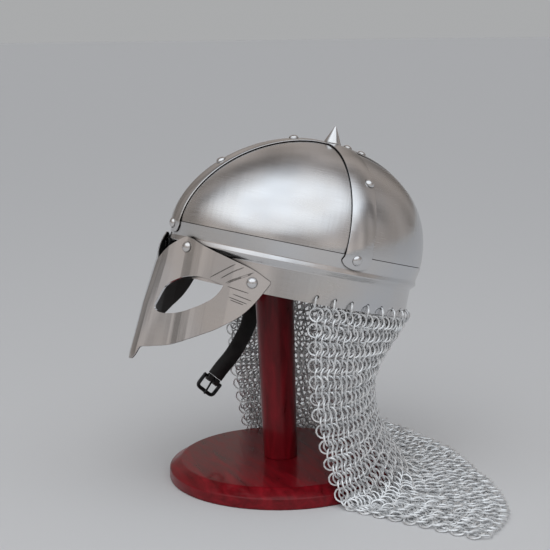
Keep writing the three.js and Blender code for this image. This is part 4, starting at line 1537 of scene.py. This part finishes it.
@dataclass
class MailCurtain:
    """The mail round the sides and the back, link by link."""

    form: HelmetForm
    band: BrowBand
    top_drop: float = 2.2
    link_radius: float = 5.85
    wire_radius: float = 0.85
    rows: int = 42
    columns: int = 24
    lean_hanging: float = 37.0
    lean_lying: float = 13.0
    seed: int = 7
    round_steps: int = 12
    wire_steps: int = 5
    grid_rows: int = 96
    first_row: float = 0.8
    hem_room: float = 0.1
    slope_step: float = 0.012
    floor_reach: float = 12.0
    floor_blend: float = 9.0
    floor_gap: float = 0.1
    lean_spread: float = 5.0
    nod_spread: float = 4.0
    place_spread: float = 0.28
    hanger_along: float = 0.93
    hanger_out: float = 0.37
    hanger_lift: float = 0.4
    reach: float = 224.0
    trail: float = 172.0
    hip_height: float = 22.0
    thickness: float = 3.0
    base_radius: float = 101.6

    def stages(self) -> list[np.ndarray]:
        """Give the curtain's five levels below the rim, each from its front edge to the back.

        Returns:
            For each level its points, worked out as shares of the sizes that it follows.
        """
        form = self.form
        helmet = (form.half_width, form.half_length, form.rim_z)
        table = (
            (helmet, [1.026, 1.005, 0.829, 0.466, 0], [-0.089, 0.214, 0.445, 0.623, 0.695],
             [0.765, 0.669, 0.61, 0.574, 0.55]),
            (helmet, [1.031, 0.984, 0.808, 0.446, 0], [-0.045, 0.232, 0.481, 0.668, 0.739],
             [0.43, 0.383, 0.359, 0.347, 0.335]),
            ((self.base_radius, self.base_radius, self.hip_height), [1.043, 1.004, 0.787, 0.453, 0],
             [0.069, 0.335, 0.699, 0.945, 1.043], [1, 0.91, 0.864, 0.818, 0.818]),
            ((self.base_radius, self.base_radius, self.thickness), [1.112, 1.112, 0.866, 0.482, 0],
             [0.128, 0.404, 0.807, 1.063, 1.161], [1, 1, 1, 1, 1]),
            ((self.reach, self.trail, self.thickness), [1, 0.83, 0.58, 0.295, 0],
             [0.477, 0.721, 0.866, 0.948, 1], [0.667] * 5))
        return [np.stack(rows, -1) * sizes for sizes, *rows in table]

    def grid(self, side: Side, columns: int, rows: int) -> np.ndarray:
        """Give the curtain's middle surface.

        Args:
            side: the wearer's side.
            columns: steps from the front edge to the middle of the back.
            rows: steps from the rim to the hem.

        Returns:
            Points by column and row.
        """
        form = self.form
        result = []
        stages = self.stages()
        for around in np.linspace(0, 1, columns + 1):
            angle = self.band.hole_start + (180 - self.band.hole_start) * around
            x, y = form.plan(np.array(angle), -form.band_thickness / 2)
            top = form.place(np.array([side.value * float(x), float(y), -self.top_drop]))
            points = [top]
            for stage in stages:
                point = catmull_rom(stage, np.array([around]))[0]
                points.append(point * [side.value, 1, 1])
            result.append(even_run(np.array(points), rows))
        return np.array(result)

    def surface(self, grid: np.ndarray, around: np.ndarray, down: np.ndarray) -> np.ndarray:
        """Read the grid between its points.

        Args:
            grid: the grid of points.
            around: shares around the rim.
            down: shares down the cloth.

        Returns:
            The points.
        """
        nc, nr = grid.shape[0] - 1, grid.shape[1] - 1
        u, v = np.clip(around, 0, 1) * nc, np.clip(down, 0, 1) * nr
        i, j = np.minimum(u.astype(int), nc - 1), np.minimum(v.astype(int), nr - 1)
        a, b = (u - i)[:, None], (v - j)[:, None]
        return (grid[i, j] * (1 - a) * (1 - b) + grid[i + 1, j] * a * (1 - b)
                + grid[i, j + 1] * (1 - a) * b + grid[i + 1, j + 1] * a * b)

    def links(self, side: Side) -> tuple[np.ndarray, np.ndarray]:
        """Work out every link's place and axes on one side.

        Args:
            side: the wearer's side.

        Returns:
            The places and the axes.
        """
        random = np.random.default_rng(self.seed + side.value)
        grid = self.grid(side, 2 * self.columns, self.grid_rows)
        row, col = np.meshgrid(np.arange(self.rows), np.arange(self.columns), indexing="ij")
        row, col = row.ravel(), col.ravel()
        around = (col + 0.25 + 0.5 * (row % 2)) / self.columns
        down = (row + self.first_row) / (self.rows + self.hem_room)
        place = self.surface(grid, around, down)
        e = self.slope_step
        across = self.surface(grid, around + e, down) - self.surface(grid, around - e, down)
        along = self.surface(grid, around, down + e) - self.surface(grid, around, down - e)
        along /= np.linalg.norm(along, axis=1)[:, None]
        normal = np.cross(across, along) * side.value
        normal /= np.linalg.norm(normal, axis=1)[:, None]
        across = np.cross(along, normal)
        flat = np.clip((self.floor_reach - place[:, 2]) / self.floor_blend, 0, 1)
        lean = np.radians(self.lean_hanging * (1 - flat) + self.lean_lying * flat)
        lean = lean * np.where(row % 2 == 0, 1, -1)
        lean = lean + np.radians(random.normal(0, self.lean_spread, len(row)))
        nod = np.radians(random.normal(0, self.nod_spread, len(row)))
        place = place + random.normal(0, self.place_spread, place.shape)
        axis = (normal * np.cos(lean)[:, None] + across * np.sin(lean)[:, None])
        axis = axis * np.cos(nod)[:, None] + along * np.sin(nod)[:, None]
        axis /= np.linalg.norm(axis, axis=1)[:, None]
        first = np.cross(along, axis)
        first /= np.linalg.norm(first, axis=1)[:, None]
        second = np.cross(axis, first)
        low = self.wire_radius + self.link_radius * np.sqrt(np.maximum(0, 1 - axis[:, 2] ** 2))
        place[:, 2] = np.maximum(place[:, 2], low + self.floor_gap)
        return place, np.stack([first, second, axis], -1)

    def hangers(self, side: Side) -> tuple[np.ndarray, np.ndarray]:
        """Work out the places and axes of the links through the band's holes on one side.

        Args:
            side: which side.

        Returns:
            The places and each link's three axes.
        """
        form = self.form
        places, axes = [], []
        for angle in self.band.hole_angles():
            if (angle < 180) != (side is Side.LEFT):
                continue
            x, y = form.plan(np.array(angle), -form.band_thickness / 2)
            out = np.array([float(x) / form.half_width ** 2, float(y) / form.half_length ** 2, 0])
            out /= np.linalg.norm(out)
            along = np.cross([0, 0, 1.0], out)
            axis = along * self.hanger_along + out * self.hanger_out
            axis /= np.linalg.norm(axis)
            height = self.band.hole_height - self.link_radius + self.hanger_lift
            centre = np.array([float(x), float(y), height])
            first = np.cross([0, 0, 1.0], axis)
            first /= np.linalg.norm(first)
            places.append(form.place(centre))
            axes.append(form.turn @ np.stack([first, np.cross(axis, first), axis], -1))
        return np.array(places), np.array(axes)

    def build(self, material: bpy.types.Material) -> None:
        """Build both halves.

        Args:
            material: the finish.
        """
        tree = link_tree(self.round_steps, self.wire_steps)
        for side, node in ((Side.LEFT, "mail_curtain_left"), (Side.RIGHT, "mail_curtain_right")):
            parts = [self.links(side), self.hangers(side)]
            places, axes = (np.concatenate(group) for group in zip(*parts))
            piece = scattered_piece(f"mail_links_{side.name.lower()}", places, axes, tree, material,
                                    {"Link radius": self.link_radius * MM,
                                     "Wire radius": self.wire_radius * MM})
            dress(piece, "mail", node)


@dataclass
class ChinStrap:
    """The leather strap on the wearer's right, with its buckle."""

    form: HelmetForm
    width: float = 16.0
    thickness: float = 2.4
    rise: float = 15.7
    drop: float = 106.6
    back: float = 15.5
    swing: float = 48.7
    shares: list[tuple[float, float, float]] = field(default_factory=lambda: [
        (0.966, 0, 0), (0.96, 0.072, 0.169), (0.922, 0.142, 0.347), (0.87, 0.253, 0.5535),
        (0.839, 0.462, 0.708), (0.829, 0.649, 0.8235), (0.829, 0.873, 0.933), (0.829, 1, 1)])
    along: tuple[float, float, float] = (0.0, -0.6601, -0.7511)
    pin_reach: float = 4.3
    tuck: float = 0.85
    fold_gap: float = 0.4
    fold_thickness: float = 2.0
    fold_half: float = 2.3
    fold_place: float = 4.2
    buckle_width: float = 23.0
    buckle_length: float = 15.0
    bar: float = 3.6
    pin_radius: float = 1.2
    prong_radius: float = 0.95
    prong_rest: float = 14.0

    def __post_init__(self) -> None:
        """Work out the strap's path, the buckle's own directions and its pin."""
        form = self.form
        inward, forward, down = np.array(self.shares).T
        self.path = np.stack([-inward * form.half_width, self.back - forward * self.swing,
                              form.rim_z + self.rise - down * self.drop], -1)
        self.face = np.array([1.0, 0, 0])
        self.run = np.array(self.along)
        self.across = np.cross(self.face, self.run)
        self.pin = self.path[-1] + self.run * self.pin_reach

    def at_pin(self, points: np.ndarray) -> np.ndarray:
        """Place points given as face, along and across at the pin."""
        return points @ np.stack([self.face, self.run, self.across]) + self.pin

    def build_strap(self, material: bpy.types.Material) -> None:
        """Build the strap with its end folded round the pin.

        Args:
            material: the strap's material.
        """
        line = even_run(np.vstack([self.path, self.path[-1] + self.run * self.tuck]), 60)
        tangent = np.gradient(line, axis=0)
        tangent[:, 0] = 0
        tangent /= np.linalg.norm(tangent, axis=1)[:, None]
        rings = []
        half, thick, soft = self.width / 2, self.thickness / 2, 0.7
        section = [(-half, -thick + soft), (-half + soft, -thick), (half - soft, -thick),
                   (half, -thick + soft), (half, thick - soft), (half - soft, thick),
                   (-half + soft, thick), (-half, thick - soft)]
        for point, go in zip(line, tangent):
            wide = np.cross(self.face, go)
            rings.append(np.array([point + wide * a + self.face * b for a, b in section]))
        points, faces = ring_body(rings, closed=False)
        strap = new_piece("strap_of_the_chin", points, faces, material, 50.0)
        joined = join([strap, *(self.fold(side, material) for side in (1, -1))])
        dress(joined, "black_leather", "chin_strap")

    def fold(self, side: int, material: bpy.types.Material) -> bpy.types.Object:
        """Build one of the two loops that hold the pin.

        Args:
            side: 1 or -1, which side of the prong.
            material: the strap's material.

        Returns:
            The loop.
        """
        inner = self.pin_radius + self.fold_gap
        outer = inner + self.fold_thickness
        centre = side * self.fold_place
        turn = np.linspace(math.radians(-60), math.radians(240), 25)
        rings = []
        for angle in turn:
            c, s = math.cos(angle), math.sin(angle)
            ring = [(inner * c, inner * s, -self.fold_half), (outer * c, outer * s, -self.fold_half),
                    (outer * c, outer * s, self.fold_half), (inner * c, inner * s, self.fold_half)]
            rings.append(np.array(ring) + np.array([0, 0, centre]))
        points, faces = ring_body(rings, closed=False)
        return new_piece("strap_fold", self.at_pin(points), faces, material, 40.0)

    def build_frame(self, material: bpy.types.Material) -> None:
        """Build the buckle's frame, its pin and the roller on its front bar.

        Args:
            material: the buckle's material.
        """
        w, length = self.buckle_width / 2 - self.bar / 2, self.buckle_length - self.bar / 2
        corners = [(0.0, w), (length, w), (length, -w), (0.0, -w)]
        path = rounded(corners, 4.0, 5)
        flat = np.array([(0, a, b) for a, b in path], float)
        parts = [self.tube("frame_bow", flat, self.bar / 2, material)]
        pin = np.array([(0, 0, w + 1.2), (0, 0, -w - 1.2)], float)
        parts.append(self.tube("frame_pin", pin, self.pin_radius, material))
        roller = np.array([(0, length, w - 3.4), (0, length, -w + 3.4)], float)
        parts.append(self.tube("frame_roller", roller, self.bar / 2 + 0.05, material))
        dress(join(parts), "dark_iron", "buckle_frame", body=BUCKLE_BODY)

    def build_prong(self, material: bpy.types.Material) -> None:
        """Build the prong with its eye round the pin.

        Args:
            material: the prong's material.
        """
        turn = np.linspace(math.radians(90), math.radians(90 + 330), 21)
        eye = np.array([(2.35 * math.cos(a), 2.35 * math.sin(a), 0) for a in turn])
        reach = self.buckle_length + 1.2
        tongue = np.array([(0.0, t, 0.0) for t in np.linspace(2.2, reach, 9)])
        tongue[:, 0] += np.interp(tongue[:, 1], [2.2, 8, reach], [0.0, 0.35, 0.15])
        a = math.radians(-self.prong_rest)
        spin = np.array([[math.cos(a), -math.sin(a), 0], [math.sin(a), math.cos(a), 0], [0, 0, 1]])
        parts = [self.tube("prong_eye", eye, 0.85, material),
                 self.tube("prong_tongue", tongue @ spin.T, self.prong_radius, material)]
        dress(join(parts), "dark_iron", "buckle_prong", body=PRONG_BODY)

    def tube(self, name: str, path: np.ndarray, radius: float,
             material: bpy.types.Material) -> bpy.types.Object:
        """Build a round bar along a path given as face, along and across.

        Args:
            name: the piece's name.
            path: the points that it follows.
            radius: its radius.
            material: the finish.

        Returns:
            The bar.
        """
        go = np.gradient(path, axis=0)
        go /= np.linalg.norm(go, axis=1)[:, None]
        up = np.array([0, 0, 1.0]) if abs(go[0] @ [0, 0, 1.0]) < 0.9 and np.ptp(path[:, 2]) < 1e-6 \
            else np.array([1.0, 0, 0])
        turn = np.linspace(0, 2 * np.pi, 12, endpoint=False)
        rings = []
        for point, run in zip(path, go):
            side = np.cross(run, up)
            side /= np.linalg.norm(side)
            over = np.cross(side, run)
            rings.append(point + radius * (np.cos(turn)[:, None] * side + np.sin(turn)[:, None] * over))
        points, faces = ring_body(rings, closed=False)
        return new_piece(name, self.at_pin(points), faces, material, 50.0)


def join(parts: list[bpy.types.Object]) -> bpy.types.Object:
    """Join pieces into the first one.

    Args:
        parts: the pieces.

    Returns:
        The first piece, with all the meshes.
    """
    first = parts[0]
    work = bmesh.new()
    for part in parts:
        work.from_mesh(part.data)
    material = first.data.materials[0]
    work.to_mesh(first.data)
    work.free()
    for part in parts[1:]:
        bpy.data.objects.remove(part, do_unlink=True)
    finish_mesh(first.data, material, 50.0)
    return first


@dataclass
class Stand:
    """The turned base, its post and the cap that carries the crown."""

    base_radius: float = 101.6
    base_wall: float = 9.7
    top_radius: float = 90.6
    height: float = 16.6
    foot_radius: float = 15.4
    head_radius: float = 18.8
    lean: float = 1.6
    cap_radius: float = 24.0
    cap_thickness: float = 14.0
    cap_top: float = 294.13
    gap: float = 0.4

    def build(self, flat: bpy.types.Material, upright: bpy.types.Material) -> None:
        """Build the three turned pieces.

        Args:
            flat: the finish of the base.
            upright: the finish of the post and the cap.
        """
        profile = [(0, 0), (self.base_radius, 0), (self.base_radius, self.base_wall),
                   (self.top_radius, self.height), (0, self.height)]
        points, faces = lathe(rounded(profile, 1.2, 4), 192)
        self.finish("turned_base", "stand_base", points, faces, flat)
        foot, head = self.height + self.gap, self.cap_top - self.cap_thickness - self.gap
        zs = np.linspace(foot, head, 12)
        radii = np.interp(zs, [foot, head], [self.foot_radius, self.head_radius])
        profile = [(0, foot), *zip(radii.tolist(), zs.tolist()), (0, head)]
        points, faces = lathe(profile, 96)
        points[:, 1] -= math.tan(math.radians(self.lean)) * (points[:, 2] - foot)
        self.finish("turned_post", "stand_post", points, faces, upright)
        low = self.cap_top - self.cap_thickness
        profile = [(0, low), (self.cap_radius, low), (self.cap_radius, self.cap_top - 3),
                   (self.cap_radius - 3, self.cap_top), (0, self.cap_top)]
        points, faces = lathe(rounded(profile, 1.0, 3), 64)
        points[:, 1] -= math.tan(math.radians(self.lean)) * (self.cap_top - foot)
        self.finish("turned_cap", "stand_cap", points, faces, upright)

    def finish(self, name: str, node: str, points: np.ndarray, faces: Faces,
               material: bpy.types.Material) -> None:
        """Place one turned piece."""
        dress(new_piece(name, points, faces, material, 40.0), "lacquered_wood", node)


# Studio


@dataclass
class Studio:
    """The floor, the soft lights and the camera at the photograph's angle."""

    azimuth: float = 67.53
    distance: float = 1208.8
    height: float = 404.8
    focal_pixels: float = 1368.2
    pitch: float = 10.31
    yaw: float = 0.15
    roll: float = -0.65
    picture: int = 550
    panel_near: tuple[float, float, float, float] = (-0.55, 0.25, 1.2, 3.2)
    panel_aside: tuple[float, float, float, float] = (-2.1, -0.8, 0.7, 1.7)
    panel_colour: Colour = (1.26, 1.34, 1.42)
    room_before: Colour = (0.46, 0.42, 0.39)
    room_behind: Colour = (0.20, 0.185, 0.175)
    sky_before: Colour = (0.42, 0.41, 0.42)
    sky_behind: Colour = (0.30, 0.27, 0.25)
    haze_top: float = 0.05
    haze_foot: float = 0.02
    haze_colour: Colour = (0.40, 0.405, 0.41)
    band_scale: Colour = (1.0, 1.0, 0.15)
    band_range: tuple[float, float] = (0.55, 1.5)
    blotch_range: tuple[float, float] = (0.7, 1.06)
    noise_span: tuple[float, float] = (0.35, 0.65)

    def build(self, paper: bpy.types.Material) -> None:
        """Build the studio.

        Args:
            paper: the floor's finish.
        """
        self.build_camera()
        self.build_floor(paper)
        self.build_lights()
        bpy.context.scene.view_settings.view_transform = "Standard"

    def build_camera(self) -> None:
        """Put the camera where the photograph was taken from."""
        a = math.radians(self.azimuth)
        place = Vector((self.distance * math.sin(a), -self.distance * math.cos(a), self.height)) * MM
        ahead = Vector((-math.sin(a), math.cos(a), 0))
        ahead.rotate(Euler((0, 0, math.radians(self.yaw))))
        right = Vector((ahead.y, -ahead.x, 0))
        down = math.radians(self.pitch)
        ahead = ahead * math.cos(down) + Vector((0, 0, -1)) * math.sin(down)
        up = right.cross(ahead)
        r = math.radians(self.roll)
        right, up = right * math.cos(r) + up * math.sin(r), up * math.cos(r) - right * math.sin(r)
        data = bpy.data.cameras.new("camera")
        data.sensor_width = 36.0
        data.lens = self.focal_pixels / self.picture * 36.0
        camera = bpy.data.objects.new("camera", data)
        turn = Matrix((right, up, -ahead)).transposed().to_4x4()
        camera.matrix_world = Matrix.Translation(place) @ turn
        bpy.context.scene.collection.objects.link(camera)
        bpy.context.scene.camera = camera

    def build_floor(self, paper: bpy.types.Material) -> None:
        """Lay the plain pale floor, a wide flat disc just under the stand.

        Args:
            paper: the floor's material.
        """
        n = 64
        turn = np.linspace(0, 2 * np.pi, n, endpoint=False)
        rings = [np.stack([r * np.cos(turn), r * np.sin(turn), np.full(n, -0.05)], -1)
                 for r in (1.0, 1500.0, 40000.0)]
        faces = [(a * n + j, a * n + (j + 1) % n, (a + 1) * n + (j + 1) % n, (a + 1) * n + j)
                 for a in (0, 1) for j in range(n)]
        faces.append(tuple(range(n)))
        floor = new_piece("floor", np.concatenate(rings), faces, paper)

    def build_lights(self) -> None:
        """Light the room: a wide soft panel overhead, toward the camera, in a dim room."""
        world = bpy.data.worlds.new("room")
        world.use_nodes = True
        room = Graph(world.node_tree)
        turn = room.node("ShaderNodeVectorRotate", Angle=math.radians(90 - self.azimuth))
        turn.rotation_type = "Z_AXIS"
        room.link(room.node("ShaderNodeTexCoord").outputs["Generated"], turn.inputs["Vector"])
        look = turn.outputs["Vector"]
        split = room.node("ShaderNodeSeparateXYZ")
        room.link(look, split.inputs["Vector"])
        near, aside, up = split.outputs
        height = room.math("MAXIMUM", up, 0.03)
        panel = None
        for value, (start, full, fade, end) in ((near, self.panel_near), (aside, self.panel_aside)):
            share = room.math("DIVIDE", value, height)
            for low, high in ((start, full), (end, fade)):
                edge = room.smooth(share, low, high)
                panel = edge if panel is None else room.math("MULTIPLY", panel, edge)
        side = room.smooth(near, -1.0, 1.0)
        dim = room.mix(room.smooth(up, -0.1, 0.75), room.mix(side, self.room_behind, self.room_before),
                       room.mix(side, self.sky_behind, self.sky_before))
        bands = room.noise(room.stretch(look, self.band_scale), 2.6, 1.5)
        banded = room.node("ShaderNodeVectorMath")
        banded.operation = "SCALE"
        room.link(dim, banded.inputs[0])
        room.link(room.between(bands, *self.band_range, *self.noise_span), banded.inputs["Scale"])
        haze = room.smooth(up, self.haze_top, self.haze_foot)
        dim = room.mix(haze, banded.outputs[0], self.haze_colour)
        blotches = room.between(room.noise(look, 3.4, 1.5), *self.blotch_range, *self.noise_span)
        whole = room.mix(room.math("MULTIPLY", panel, blotches), dim, self.panel_colour)
        background = world.node_tree.nodes["Background"]
        room.link(whole, background.inputs["Color"])
        background.inputs["Strength"].default_value = 1.0
        bpy.context.scene.world = world
        self.light("key", (0.95, -0.55, 1.5), (1.3, 1.3), 9.0)

    def light(self, name: str, place: tuple[float, float, float], size: tuple[float, float],
              power: float) -> None:
        """Hang one soft light that faces the helmet.

        Args:
            name: the light's name.
            place: where it hangs, in metres.
            size: its width and height in metres.
            power: its power in watts.
        """
        data = bpy.data.lights.new(name, "AREA")
        data.shape = "RECTANGLE"
        data.size, data.size_y = size
        data.energy = power
        data.color = (1.0, 0.985, 0.97)
        lamp = bpy.data.objects.new(name, data)
        lamp.location = place
        lamp.visible_glossy = False
        aim = Vector((0, 0, 0.2)) - Vector(place)
        lamp.rotation_euler = aim.to_track_quat("-Z", "Y").to_euler()
        bpy.context.scene.collection.objects.link(lamp)


def main() -> None:
    """Build the studio and every piece."""
    logging.basicConfig(level=logging.INFO, format="%(name)s: %(message)s")
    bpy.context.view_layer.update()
    Studio().build(StudioPaper().build())
    form = HelmetForm()
    plate = PolishedSteel("dome_steel").build()
    strip = PolishedSteel("strip_steel", roughness=0.17, waviness=0.25).build()
    guard_steel = PolishedSteel("guard_steel", roughness=0.15, waviness=0.55).build()
    head = PolishedSteel("head_steel", colour=(0.72, 0.72, 0.73), roughness=0.16, waviness=0.0).build()
    wire = MailWire().build()
    Dome(form).build(plate)
    band = BrowBand(form)
    band.build(strip)
    strips = Strips(form)
    strips.build(strip)
    guard = SpectacleGuard(form)
    guard.build(guard_steel)
    Rivets(form, strips, guard).build(head)
    MailCurtain(form, band).build(wire)
    strap = ChinStrap(form)
    iron = DarkIron().build()
    strap.build_strap(StrapLeather().build())
    strap.build_frame(iron)
    strap.build_prong(iron)
    Stand().build(CherryLacquer("base_lacquer", (1, 5, 5)).build(),
                  CherryLacquer("post_lacquer", (6, 6, 1)).build())


if __name__ == "__main__":
    main()
